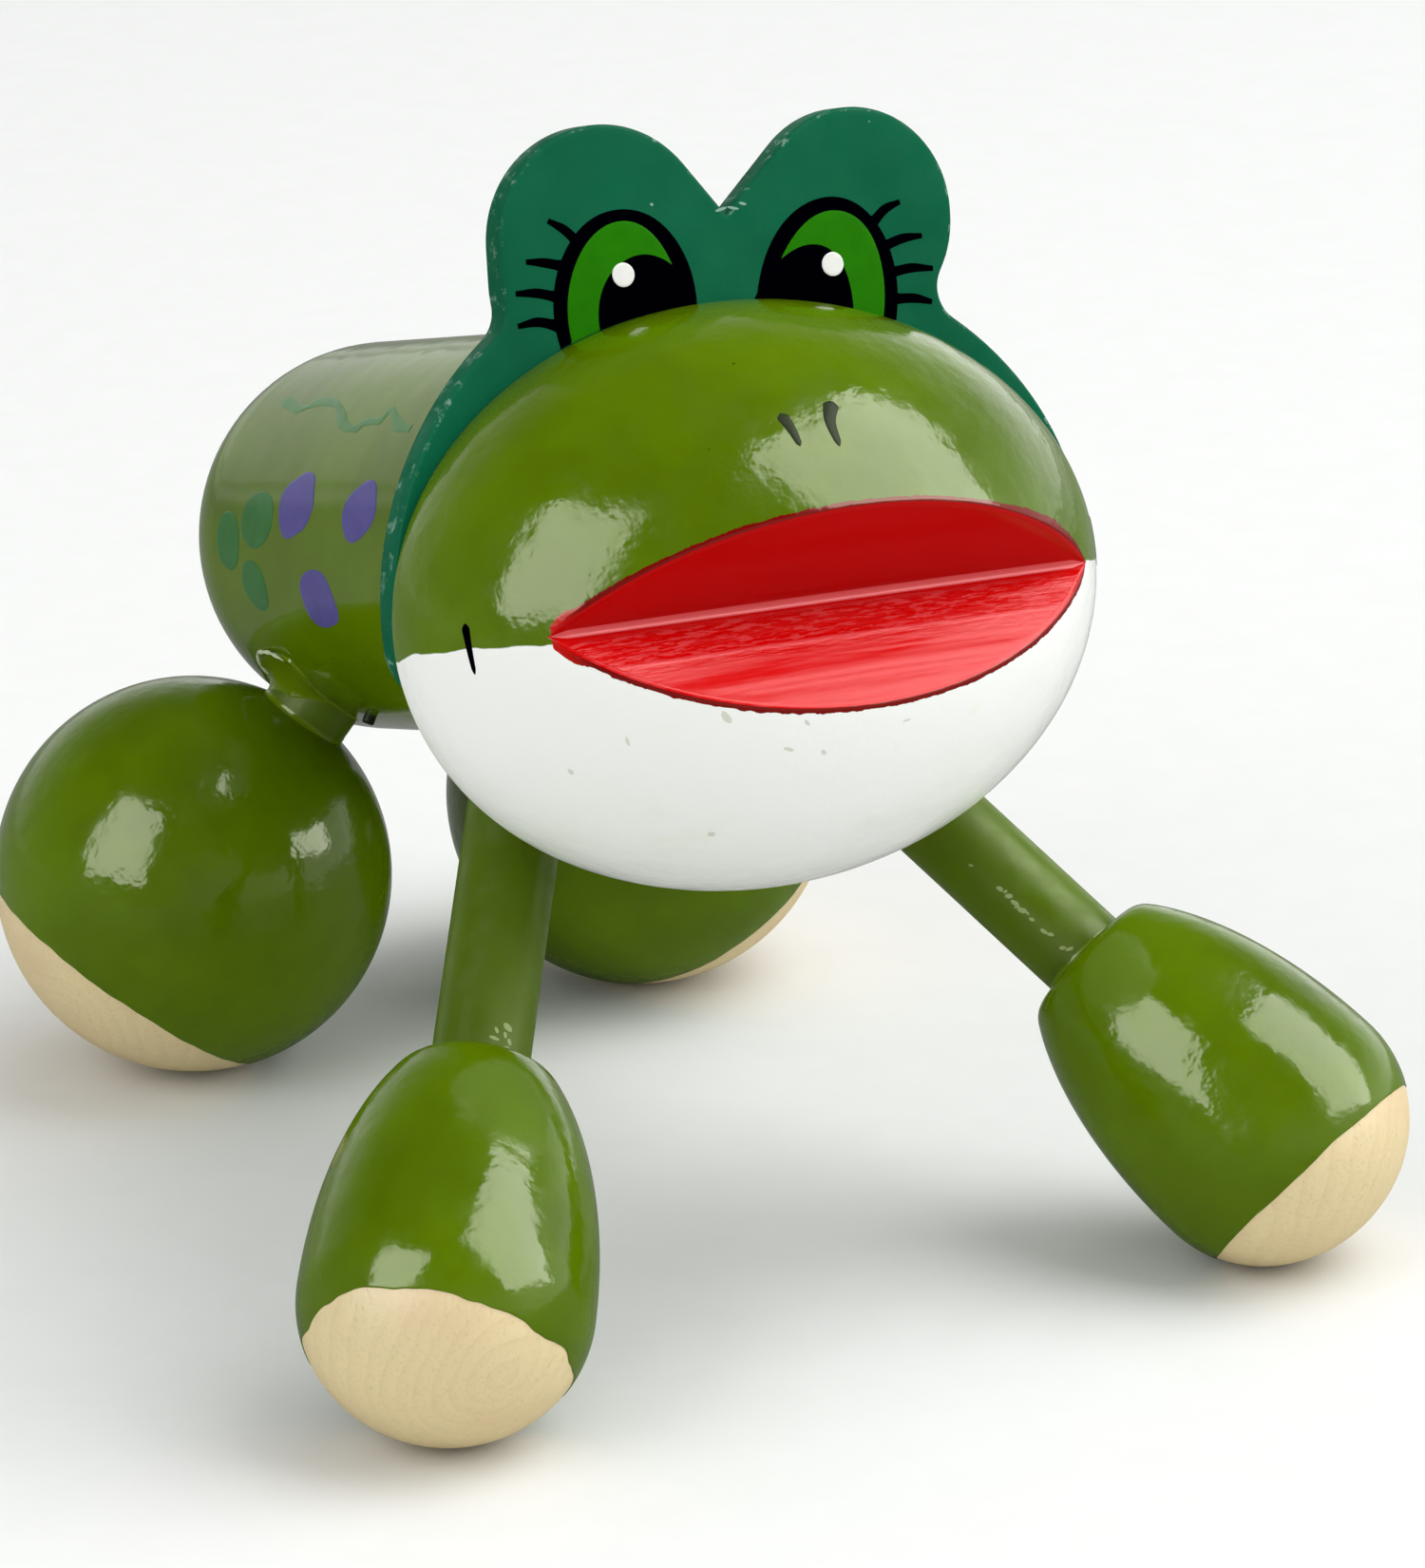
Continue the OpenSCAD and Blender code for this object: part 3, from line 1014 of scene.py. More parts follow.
class Finishes:
    """All the frog's materials, built once."""

    def __init__(self) -> None:
        """Builds each material."""
        self.olive = GlossPaint("olive_gloss_paint", OLIVE).make()
        # Collars take a lighter olive than the body: a painted highlight for the light that thick paint
        # catches
        self.collar = GlossPaint("collar_painted_highlight_gloss", (0.37, 0.47, 0.02), film_height=0.1).make()
        self.body = GlossPaint("body_gloss_paint", OLIVE, roughness=0.065, film_height=0.06, peel_share=0.06,
                               tint=(1.0, 0.96, 0.66)).make()
        self.dowel = GlossPaint("dowel_satin_paint", (0.30, 0.395, 0.0), shade=0.9, roughness=0.32,
                                wave_mm=2.5, peel_mm=0.6, peel_share=0.4, film_height=0.025,
                                shine=0.17).make()
        self.head = HeadPaint("head_two_tone_paint", (0.33, 0.44, 0.0)).make()
        self.mouth = MouthPaint("mouth_red_paint", (0.82, 0.0, 0.0), shade=0.95, roughness=0.16, rougher=2.0,
                                film_height=0.08, shine=0.22, tint=(1.0, 0.6, 0.6)).make()
        self.teal = BoardPaint("board_teal_paint", (0.03, 0.375, 0.255), roughness=0.45, peel_mm=0.5,
                               peel_share=0.5, film_height=0.03, shine=0.02, tint=PLAIN).make()
        # Edge copy of the teal, a touch darker as painted shade on the board's sides; its chips are wear
        self.teal_edge = BoardPaint("board_teal_edge", (0.03, 0.37, 0.25), roughness=0.4, peel_mm=0.5,
                                    peel_share=0.5, film_height=0.06, shine=0.03, tint=PLAIN,
                                    wear=0.45).make()
        self.wood = BareWood("bare_turned_wood").make()
        self.black = MarkPaint("mark_black_paint", (0.004, 0.004, 0.02), roughness=0.6, shine=0.0).make()
        self.iris = MarkPaint("mark_iris_green", (0.14, 0.48, 0.0), shine=0.01).make()
        self.glint = MarkPaint("mark_glint_white", (0.95, 0.95, 0.94)).make()
        self.purple = MarkPaint("mark_purple_spot", (0.33, 0.30, 0.56), roughness=0.12).make()
        self.spot_green = MarkPaint("mark_green_spot", (0.20, 0.43, 0.20), roughness=0.12).make()
        self.wave_green = MarkPaint("mark_wave_green", (0.26, 0.47, 0.22), roughness=0.12).make()
        self.nostril = MarkPaint("mark_nostril_grey", (0.20, 0.225, 0.15), roughness=0.2, shine=0.04).make()
        self.scuff = MarkPaint("mark_scuff", (0.60, 0.66, 0.42), roughness=0.4).make()
        # Near-white paint on the torn film's rolled edge: a painted highlight on olive film
        self.torn = MarkPaint("mark_torn_film_highlight", (0.80, 0.84, 0.70), roughness=0.4).make()
        self.chip = MarkPaint("mark_board_chip", (0.50, 0.66, 0.58), roughness=0.5).make()
        self.pit = MarkPaint("mark_pit", (0.05, 0.10, 0.01), roughness=0.5).make()
        self.smudge = MarkPaint("mark_chin_speck", (0.86, 0.87, 0.82), roughness=0.4).make()


# Surfaces that marks lie on


class Surface(Protocol):
    """A smooth surface in a piece's frame."""

    def seat(self, point: Array) -> tuple[Array, Array]:
        """Brings a nearby point onto the surface and gives it with the surface's outward direction."""


@dataclass(frozen=True)
class Plane:
    """The flat face at one height along Z."""

    height: float

    def seat(self, point: Array) -> tuple[Array, Array]:
        """Brings a point onto the face."""
        return np.array([point[0], point[1], self.height]), np.array([0.0, 0, 1])


@dataclass(frozen=True)
class Egg:
    """An egg turned about X."""

    half_len: float
    half_d: float

    def seat(self, point: Array) -> tuple[Array, Array]:
        """Brings a point onto the egg along the line from its middle.

        Args:
            point: The point, not at the middle.

        Returns:
            The point on the egg, and the outward direction there.
        """
        size = np.array([self.half_len, self.half_d, self.half_d])
        on = point / np.linalg.norm(point / size)
        return on, unit(on / size ** 2)


@dataclass(frozen=True)
class Rod:
    """A round rod along Z."""

    radius: float

    def seat(self, point: Array) -> tuple[Array, Array]:
        """Brings a point onto the rod, square to its axis."""
        out = unit(np.array([point[0], point[1], 0.0]))
        return out * self.radius + np.array([0, 0, point[2]]), out


HEAD_EGG = Egg(STANCE.head_w / 2, STANCE.head_h / 2)


def smooth_path(points: Sequence[Sequence[float]], steps: int) -> Array:
    """Runs a smooth line through points.

    Args:
        points: Points to pass through.
        steps: Number of steps between neighbours.

    Returns:
        The line's points.
    """
    p = np.array(points, float)
    p = np.vstack([2 * p[0] - p[1], p, 2 * p[-1] - p[-2]])
    out = []
    for a, b, c, d in zip(p, p[1:], p[2:], p[3:]):
        for t in np.arange(steps) / steps:
            out.append(0.5 * (2 * b + (c - a) * t + (2 * a - 5 * b + 4 * c - d) * t ** 2
                              + (3 * b - a - 3 * c + d) * t ** 3))
    return np.array(out + [p[-2]])


@dataclass(frozen=True)
class Blob:
    """A round mark of thick paint, domed to its film height in millimetres."""

    middle: Array
    half_u: Array
    half_v: Array
    film: float
    seed: int = 0
    wobble: float = 0.02
    square: float = 2.0

    # Share of the half sizes, and share of the film's height
    RINGS = ((1.0, -0.6), (1.0, 0.3), (0.985, 0.72), (0.95, 0.94), (0.86, 1.0), (0.7, 1.0), (0.5, 1.0),
             (0.25, 1.0))

    def add_to(self, piece: Piece, surface: Surface, keep: Optional[Callable[[Array], Array]] = None,
               slot: int = 0, count: int = 72) -> None:
        """Adds the mark's mesh to a piece.

        Args:
            piece: Piece that takes the mesh.
            surface: Surface under the mark.
            keep: Moves points that may not be painted to the nearest place that may.
            slot: Material slot of the mark.
            count: Points round the edge.
        """
        angle = np.arange(count) * TURN / count
        power = self.square
        edge = (np.abs(np.cos(angle)) ** power + np.abs(np.sin(angle)) ** power) ** (-1 / power)
        edge = edge * (1 + self.wobble * ripple(angle, self.seed))
        rows = []
        for share, rise in self.RINGS:
            row = []
            for a, e in zip(angle, edge):
                p = self.middle + share * e * (math.cos(a) * self.half_u + math.sin(a) * self.half_v)
                on, out = surface.seat(keep(p) if keep else p)
                row.append(on + out * self.film * rise)
            rows.append(row)
        on, out = surface.seat(keep(self.middle) if keep else self.middle)
        piece.add_grid(rows, slot, last_pole=on + out * self.film)


@dataclass(frozen=True)
class Stroke:
    """A brushed line of thick paint, with its width given at each point."""

    path: Array
    widths: Array
    film: float

    # Share of the half width, and share of the film's height
    ACROSS = ((-1.0, -0.6), (-1.0, 0.2), (-0.8, 0.7), (-0.4, 1.0), (0.0, 1.0), (0.4, 1.0), (0.8, 0.7),
              (1.0, 0.2), (1.0, -0.6))

    def add_to(self, piece: Piece, surface: Surface, slot: int = 0) -> None:
        """Adds the line's mesh to a piece.

        Args:
            piece: Piece that takes the mesh.
            surface: Surface under the line.
            slot: Material slot of the line.
        """
        rows = []
        for i, (p, width) in enumerate(zip(self.path, self.widths)):
            run = unit(self.path[min(i + 1, len(self.path) - 1)] - self.path[max(i - 1, 0)])
            side = unit(np.cross(surface.seat(p)[1], run))
            row = []
            for across, rise in self.ACROSS:
                on, out = surface.seat(p + side * across * width / 2)
                row.append(on + out * self.film * rise)
            rows.append(row)
        piece.add_grid(rows, slot, closed=False)
        for row in (rows[0], rows[-1]):
            first = len(piece.points)
            piece.points.extend(row)
            piece.faces.append(tuple(range(first, first + len(row))))
            piece.slots.append(slot)


# Pieces


@dataclass
class Head:
    """The turned egg cut flat behind and sawn with a mouth, with soft lips and paint pooled at its root."""

    mouth_depth: float = 9.4
    mouth_drop: float = 0.3
    mouth_up: float = 41.0
    mouth_down: float = 46.0
    mouth_turn: float = 1.8
    least_lip: float = 0.02
    lip_round: float = 0.45
    root_round: float = 0.55
    crown: float = 0.3
    crown_width: float = 11.5
    ridge_tall: float = 0.05
    ridge_half: float = 0.3
    back_round: float = 0.4
    saw_height: float = 0.004
    saw_fade: float = 0.8
    saw_pitches: tuple[float, ...] = (0.6, 0.85, 1.2, 1.9, 3.1)
    saw_seed: int = 8
    stations: int = 190
    counts: tuple[int, ...] = (8, 5, 64, 7, 34, 7, 60, 7, 64, 5, 8)
    lip_rows: int = 3
    GREEN, RED = 0, 1
    FAR, ROOT = 9.0, -1.0

    def saw(self, s: Array, x: float) -> Array:
        """Height of the saw lines on the lower face of the mouth.

        Args:
            s: Distances from the mouth's root.
            x: Place across the mouth.

        Returns:
            Heights, about one unit each way.
        """
        rng = np.random.default_rng(self.saw_seed)
        total = np.zeros_like(s)
        for pitch in self.saw_pitches:
            drift = rng.uniform(-0.06, 0.06) * x + 0.5 * math.sin(x / rng.uniform(5, 9))
            total += pitch ** 0.7 * np.sin(TURN * s / pitch + drift + rng.uniform(0, TURN))
        return total

    def mouth_at(self, x: float, r: float) -> tuple[Array, list[Array], list[float], bool]:
        """The mouth in one slice across the head.

        Args:
            x: Place of the slice.
            r: Radius of the egg there.

        Returns:
            The root, the ways of the upper and the lower face out from it, their lengths, and whether the
            mouth reaches the slice. Where it doesn't, the root lies on the egg and the lengths are zero.
        """
        root = np.array([x, -self.mouth_drop - x * math.tan(math.radians(self.mouth_turn)),
                         STANCE.head_h / 2 - self.mouth_depth])
        ways, lips = [], []
        for tilt in (self.mouth_up, -self.mouth_down):
            way = np.array([0.0, math.sin(math.radians(tilt)), math.cos(math.radians(tilt))])
            along = root[1:] @ way[1:]
            gap = along ** 2 - root[1:] @ root[1:] + r * r
            ways.append(way)
            lips.append(max(0.0, math.sqrt(gap) - along) if gap > 0 else 0.0)
        if min(lips) > self.least_lip and np.linalg.norm(root[1:]) < r:
            return root, ways, lips, True
        turn = math.atan2(root[1], root[2])
        return np.array([x, r * math.sin(turn), r * math.cos(turn)]), ways, [0.0, 0.0], False

    def lower_face(self, x: float, start: float, end: float) -> tuple[Array, Array]:
        """Relief of the mouth's lower face in one slice.

        Args:
            x: Place of the slice.
            start: Where the face leaves the paint at the root.
            end: Where it starts to round into the lip.

        Returns:
            Distances from the root, and the height of the face at each.
        """
        s = np.linspace(start, end, self.counts[6] + 1)
        fade = np.clip(np.minimum(s - start, end - s) / self.saw_fade, 0, 1)
        share = (s - start) / max(end - start, 1e-6)
        rise = self.saw(s, x) * fade * self.saw_height
        rise += self.crown * (end / self.crown_width) ** 2 * 4 * share * (1 - share)
        rise += self.ridge_tall * np.exp(-((s - RIDGE_AT) / self.ridge_half) ** 2) * fade
        return s, rise

    def section(self, x: float) -> tuple[list[Array], list[float], list[float]]:
        """One closed slice across the head, in runs that each end where the next starts.

        Args:
            x: Place of the slice.

        Returns:
            The slice's points, each point's distance from a lip along the outside, and its distance from the
            mouth's root down the lower face.
        """
        r = STANCE.head_h / 2 * math.sqrt(max(0.0, 1 - (2 * x / STANCE.head_w) ** 2))
        on_arc: Callable[[float], Array] = lambda a: np.array([x, r * math.sin(a), r * math.cos(a)])
        behind, n = STANCE.head_behind, self.counts
        half = math.sqrt(max(0.0, r * r - behind ** 2))
        back = math.acos(max(-1.0, -behind / r))
        soft = min(self.back_round, 0.3 * half)
        flat = -min(behind, r)
        rim, low_rim = np.array([x, half, flat]), np.array([x, -half, flat])
        root, (up, down), lips, is_open = self.mouth_at(x, r)
        tips = [root + up * lips[0], root + down * lips[1]]
        turns = [math.atan2(tip[1], tip[2]) for tip in tips]
        edges = [min(self.lip_round, 0.35 * lip) for lip in lips]
        pool = min(self.root_round, 0.3 * min(lips))
        upper = np.linspace(back - soft / r, turns[0] + edges[0] / r, n[2] + 1)
        lower = np.linspace(turns[1] - edges[1] / r, soft / r - back, n[8] + 1)
        depths, rises = self.lower_face(x, pool, lips[1] - edges[1])
        square = np.array([0.0, down[2], -down[1]])
        face = [root + down * s + square * rise for s, rise in zip(depths, rises)]
        runs = (
            [np.array([x, y, flat]) for y in np.linspace(0, half - soft, n[0] + 1)],
            bend(rim, rim - [0, soft, 0], on_arc(upper[0]), n[1] + 1),
            [on_arc(a) for a in upper],
            bend(tips[0], on_arc(upper[-1]), root + up * (lips[0] - edges[0]), n[3] + 1),
            [root + up * s for s in np.linspace(lips[0] - edges[0], pool, n[4] + 1)],
            bend(root, root + up * pool, root + down * pool, n[5] + 1),
            face,
            bend(tips[1], face[-1], on_arc(lower[0]), n[7] + 1),
            [on_arc(a) for a in lower],
            bend(low_rim, on_arc(lower[-1]), low_rim + [0, soft, 0], n[9] + 1),
            [np.array([x, y, flat]) for y in np.linspace(soft - half, 0, n[10] + 1)],
        )
        points = [p for run in runs for p in run[:-1]]
        lip = [self.FAR] * len(points)
        if is_open:
            over, under = r * (upper[:-1] - upper[-1]), r * (lower[0] - lower[:-1])
            lip[sum(n[:2]):sum(n[:9])] = [*over, *[0.0] * sum(n[3:8]), *under]
        deep = [0.0] * sum(n[:5]) + [self.ROOT] * n[5] + list(depths[:-1]) + [self.FAR] * n[7]
        return points, lip, deep + [0.0] * sum(n[8:])

    def build(self, finishes: Finishes) -> None:
        """Builds and dresses the head.

        Args:
            finishes: The frog's materials.
        """
        piece, n = Piece("carved_head"), self.counts
        end = np.array([STANCE.head_w / 2, 0, 0])
        spots = end[0] * np.sin(np.linspace(-0.5, 0.5, self.stations + 2)[1:-1] * math.pi)
        slices, lips, depths = zip(*(self.section(x) for x in spots))
        before, after = sum(n[:3]) + self.lip_rows, sum(n[8:]) + self.lip_rows
        ring = [self.GREEN] * before + [self.RED] * (sum(n) - before - after) + [self.GREEN] * after
        piece.add_grid(slices, np.tile(ring, (len(slices) - 1, 1)), first_pole=-end, last_pole=end)
        piece.marks["lip"] = [v for row in lips for v in row] + [self.FAR] * 2
        piece.marks["mouth"] = [v for row in depths for v in row] + [0.0] * 2
        obj = piece.build(STANCE.head_place(), (finishes.head, finishes.mouth), sharp=math.radians(60))
        seat_piece(obj, Slot.HEAD, "head")


def front_outline(node: bpy.types.Object, matrix: Matrix, height: float, near: float = 0.005) -> Array:
    """Follows the outer edge of a CAD node's flat front.

    Args:
        node: The CAD node.
        matrix: Place of the frame whose Z is square to the front.
        height: Height of the front in that frame, in millimetres.
        near: How far from that height a point of the front may lie.

    Returns:
        The edge's points in that frame, counter-clockwise.
    """
    bm = bmesh.new()
    bm.from_mesh(node.data)
    bm.transform(matrix.inverted())
    bmesh.ops.remove_doubles(bm, verts=bm.verts, dist=2e-6)
    bm.verts.index_update()
    front = {f for f in bm.faces if all(abs(v.co.z / MM - height) < near for v in f.verts)}
    steps: dict[int, list[int]] = {}
    for edge in bm.edges:
        if sum(f in front for f in edge.link_faces) == 1:
            a, b = edge.verts
            steps.setdefault(a.index, []).append(b.index)
            steps.setdefault(b.index, []).append(a.index)
    at = {v.index: (v.co.x / MM, v.co.y / MM) for v in bm.verts if v.index in steps}
    bm.free()
    start = max(at, key=lambda i: at[i])
    ring = [start, steps[start][0]]
    while ring[-1] != start:
        ring.append(next(i for i in steps[ring[-1]] if i != ring[-2]))
    p = np.array([at[i] for i in ring[:-1]])
    area = np.sum(p[:, 0] * np.roll(p[:, 1], -1) - p[:, 1] * np.roll(p[:, 0], -1))
    return p if area > 0 else p[::-1]


@dataclass
class EyeBoard:
    """The thin board with the two eye lobes, with softened and worn edges."""

    edge: float = 0.3
    step: float = 0.45
    border: float = 0.5
    corner: float = 30.0
    sharpest: float = 0.4
    FRONT, EDGE = 0, 1

    def inset(self, p: Array, by: float) -> Array:
        """Moves a closed outline inward.

        Args:
            p: The outline, counter-clockwise.
            by: Distance to move.

        Returns:
            The moved outline.
        """
        normals = []
        for d in (p - np.roll(p, 1, 0), np.roll(p, -1, 0) - p):
            d = d / np.linalg.norm(d, axis=1)[:, None]
            normals.append(np.stack([-d[:, 1], d[:, 0]], 1))
        total = normals[0] + normals[1]
        return p + by * total / np.maximum(np.sum(total * normals[0], 1), self.sharpest)[:, None]

    def even(self, p: Array) -> Array:
        """Spaces an outline's points evenly, keeping its sharp corners.

        Args:
            p: The outline.

        Returns:
            The outline with even spacing.
        """
        d = np.roll(p, -1, 0) - p
        way = np.arctan2(d[:, 1], d[:, 0])
        turn = np.angle(np.exp(1j * (way - np.roll(way, 1))))
        corners = [int(i) for i in np.where(np.abs(turn) > math.radians(self.corner))[0]] or [0]
        p = np.roll(p, -corners[0], 0)
        marks = [c - corners[0] for c in corners] + [len(p)]
        closed = np.vstack([p, p[:1]])
        out = []
        for a, b in zip(marks, marks[1:]):
            run = closed[a:b + 1]
            along = distances(run)
            at = np.linspace(0, along[-1], max(2, round(along[-1] / self.step)) + 1)[:-1]
            out.append(np.stack([np.interp(at, along, run[:, k]) for k in (0, 1)], 1))
        return np.vstack(out)

    def build(self, finishes: Finishes) -> None:
        """Builds and dresses the board.

        Args:
            finishes: The frog's materials.
        """
        place_of_board, t, e = STANCE.face_place(), STANCE.plate_t, self.edge
        outline = self.even(front_outline(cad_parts["eye_plate"], place_of_board, t))
        quarter = np.linspace(0, math.pi / 2, 5)
        levels = [(e + self.border, 0.0)]
        levels += [(e - e * math.sin(a), e - e * math.cos(a)) for a in quarter]
        levels += [(0.0, t / 2)]
        levels += [(e - e * math.cos(a), t - e + e * math.sin(a)) for a in quarter]
        levels += [(e + self.border, t)]
        rows = []
        for by, z in levels:
            ring = self.inset(outline, by)
            rows.append(np.column_stack([ring, np.full(len(ring), z)]))
        piece, count, top = Piece("eye_board"), len(outline), (len(levels) - 1) * len(outline)
        piece.add_grid(rows, [self.FRONT] + [self.EDGE] * (len(levels) - 3) + [self.FRONT])
        piece.faces += [tuple(range(count))[::-1], tuple(range(top, top + count))]
        piece.slots += [self.FRONT, self.FRONT]
        obj = piece.build(place_of_board, (finishes.teal, finishes.teal_edge), merge=1e-8)
        seat_piece(obj, Slot.TEAL, "eye_plate")


@dataclass
class DippedEnd:
    """A turned end dipped in paint up to a wavering line, with its far cap left as bare wood."""

    name: str
    node: str
    side: Side
    front: bool
    cap: float
    cap_tilt: float = 0.0
    cap_turn: float = 0.0
    waver: float = 0.22
    ragged: float = 0.05
    seed: int = 1
    film: float = 0.09
    count: int = 216
    paint_rows: int = 84
    wood_rows: int = 40
    PAINT, WOOD = 0, 1
    # How far past the line, and the share of the film that is left there
    FILM_EDGE = ((-0.16, 1.0), (-0.08, 0.92), (-0.02, 0.6), (0.0, 0.05), (0.05, 0.0))
    # Waves round the line that make it ragged, and the shift of their seed
    RAGGED_WAVES = ((7, 20), (11, 40))

    def outline(self) -> Array:
        """The end's profile from the dowel to the far pole, as radius and height along the leg.

        Returns:
            The profile's points.
        """
        if not self.front:
            r = STANCE.ball_d / 2
            a = np.linspace(math.asin(STANCE.dowel_r / r), math.pi, 260)
            return np.stack([r * np.sin(a), -r * np.cos(a)], 1)
        half, taper, shoulder = STANCE.foot_d / 2, STANCE.foot_taper, STANCE.foot_shoulder_d / 2
        full = taper / math.sqrt(1 - (shoulder / half) ** 2)
        a = np.linspace(math.acos(shoulder / half), 0, 240)
        side = np.stack([half * np.cos(a), -full * np.sin(a)], 1)
        side = side[side[:, 1] > STANCE.foot_round * 0.8 - taper]
        corner, before = np.array([shoulder, -taper]), np.array([shoulder - STANCE.foot_round, -taper])
        cap = np.linspace(0, math.pi / 2, 120)[1:]
        crown_side = np.stack([half * np.cos(cap), STANCE.foot_crown * np.sin(cap)], 1)
        return np.vstack([[[STANCE.dowel_r, -taper]], bend(corner, before, side[0], 9), side[1:], crown_side])

    def paint_line(self, angle: Array) -> Array:
        """Height along the leg at which the paint stops.

        Args:
            angle: Angles round the leg.

        Returns:
            The height at each angle.
        """
        height = self.cap + self.cap_tilt * np.cos(angle - self.cap_turn)
        height = height + self.waver * ripple(angle, self.seed, 16)
        for times, shift in self.RAGGED_WAVES:
            height = height + self.ragged * ripple(times * angle, self.seed + shift, 4)
        return height

    def build(self, finishes: Finishes) -> None:
        """Builds and dresses the end.

        Args:
            finishes: The frog's materials.
        """
        line = self.outline()
        along = distances(line)
        angle = np.arange(self.count) * TURN / self.count
        widest = int(np.argmax(line[:, 0]))
        border = np.interp(self.paint_line(angle), line[widest:, 1], along[widest:])
        steps = [(border * f, 1.0) for f in np.linspace(0, 1, self.paint_rows)[:-1]]
        steps += [(border + past, left) for past, left in self.FILM_EDGE]
        painted, bare = len(steps) - 2, steps[-1][0]
        steps += [(bare + (along[-1] - bare) * f, 0.0) for f in np.linspace(0, 1, self.wood_rows)[1:-1]]
        slots = [self.PAINT] * painted + [self.WOOD] * (len(steps) - 1 - painted)
        tangent = np.gradient(line, along, axis=0)
        rows = []
        for s, left in steps:
            r, z, out_r, in_z = (np.interp(s, along, v) for v in (*line.T, tangent[:, 1], tangent[:, 0]))
            r, z = r + out_r * left * self.film, z - in_z * left * self.film
            rows.append(np.stack([r * np.cos(angle), r * np.sin(angle), z], 1))
        piece = Piece(self.name)
        piece.add_grid(rows, slots, last_pole=np.array([0, 0, line[-1, 1]]))
        obj = piece.build(STANCE.leg_place(self.side, self.front), (finishes.olive, finishes.wood))
        seat_piece(obj, Slot.DIPPED, self.node)


@dataclass
class PaintCollar:
    """Paint gathered where a dowel enters its hole.

    Its paint is a lighter olive than the body, a painted highlight for the light that thick paint catches.
    Where reaches are given, each holds an angle in degrees with the collar's width and rise there.
    """

    name: str
    side: Side
    front: bool
    at_body: bool
    width: float = 0.5
    rise: float = 0.5
    waver: float = 0.25
    thinnest: float = 0.35
    seed: int = 1
    reaches: tuple[tuple[float, float, float], ...] = ()
    lift: float = 0.03
    skin: float = 0.03
    tuck: float = 0.12
    inside: float = 0.15
    count: int = 144

    def host(self, reach: float, angle: float) -> float:
        """Height along the leg at which the surface round the hole lies.

        Args:
            reach: Distance from the leg's axis.
            angle: Angle about that axis.

        Returns:
            The height.
        """
        if self.at_body:
            m = np.array(STANCE.leg_place(self.side, self.front).to_3x3())
            tail = STANCE.tailward
            start = STANCE.leg_end(self.side, self.front) - STANCE.face
            start = start + reach * (math.cos(angle) * m[:, 0] + math.sin(angle) * m[:, 1])
            p, w = start - (start @ tail) * tail, m[:, 2] - (m[:, 2] @ tail) * tail
            half = (p @ w) / (w @ w)
            return -half + math.sqrt(half ** 2 - (p @ p - STANCE.body_d ** 2 / 4) / (w @ w))
        if self.front:
            return -STANCE.foot_taper
        return -math.sqrt(STANCE.ball_d ** 2 / 4 - reach ** 2)

    def build(self, finishes: Finishes) -> None:
        """Builds and dresses the collar.

        Args:
            finishes: The frog's materials.
        """
        angle = np.arange(self.count) * TURN / self.count
        swell = np.maximum(self.thinnest, 1 + self.waver * ripple(angle, self.seed, 9))
        widths, rises = self.width * swell, self.rise * swell
        if self.reaches:
            turn, width, rise = np.array(self.reaches).T
            widths, rises = (np.interp(np.degrees(angle), turn, v, period=360) for v in (width, rise))
            widths, rises = widths * (0.8 + 0.2 * swell), rises * (0.8 + 0.2 * swell)
        away, dowel_r = (1.0 if self.at_body else -1.0), STANCE.dowel_r
        rings = []
        for a, width, rise in zip(angle, widths, rises):
            out = np.array([math.cos(a), math.sin(a), 0.0])
            wide, lift = dowel_r + width, self.lift * min(1.0, width)
            foot = out * wide + np.array([0, 0, self.host(wide, a) + lift * away])
            corner = out * dowel_r + np.array([0, 0, self.host(dowel_r, a)])
            top = out * (dowel_r + self.skin) + np.array([0, 0, corner[2] + rise * away])
            inner = out * (dowel_r - self.inside)
            rings.append([foot - [0, 0, (self.lift + self.tuck) * away]] + bend(corner, foot, top, 8)
                         + [inner + [0, 0, top[2]], inner + [0, 0, foot[2] - self.inside * away]])
        piece = Piece(self.name)
        rows = [np.array(r) for r in zip(*rings)]
        piece.add_grid(rows + rows[:1])
        seat_piece(piece.build(STANCE.leg_place(self.side, self.front), (finishes.collar,)), Slot.GREEN)


@dataclass(frozen=True)
class Oval:
    """An oval on the board: middle, half sizes and turn in degrees, with the middle of the head as origin."""

    x: float
    y: float
    half_w: float
    half_h: float
    turn: float
    wobble: float = 0.012

    def blob(self, film: float, seed: int) -> Blob:
        """The oval as a mark of paint.

        Args:
            film: Height of the paint, in millimetres.
            seed: Chooses the wobble of its edge.

        Returns:
            The mark.
        """
        a, middle = math.radians(self.turn), np.array([self.x, self.y - STANCE.head_drop, 0.0])
        u, v = np.array([math.cos(a), math.sin(a), 0.0]), np.array([-math.sin(a), math.cos(a), 0.0])
        return Blob(middle, u * self.half_w, v * self.half_h, film, seed, self.wobble)


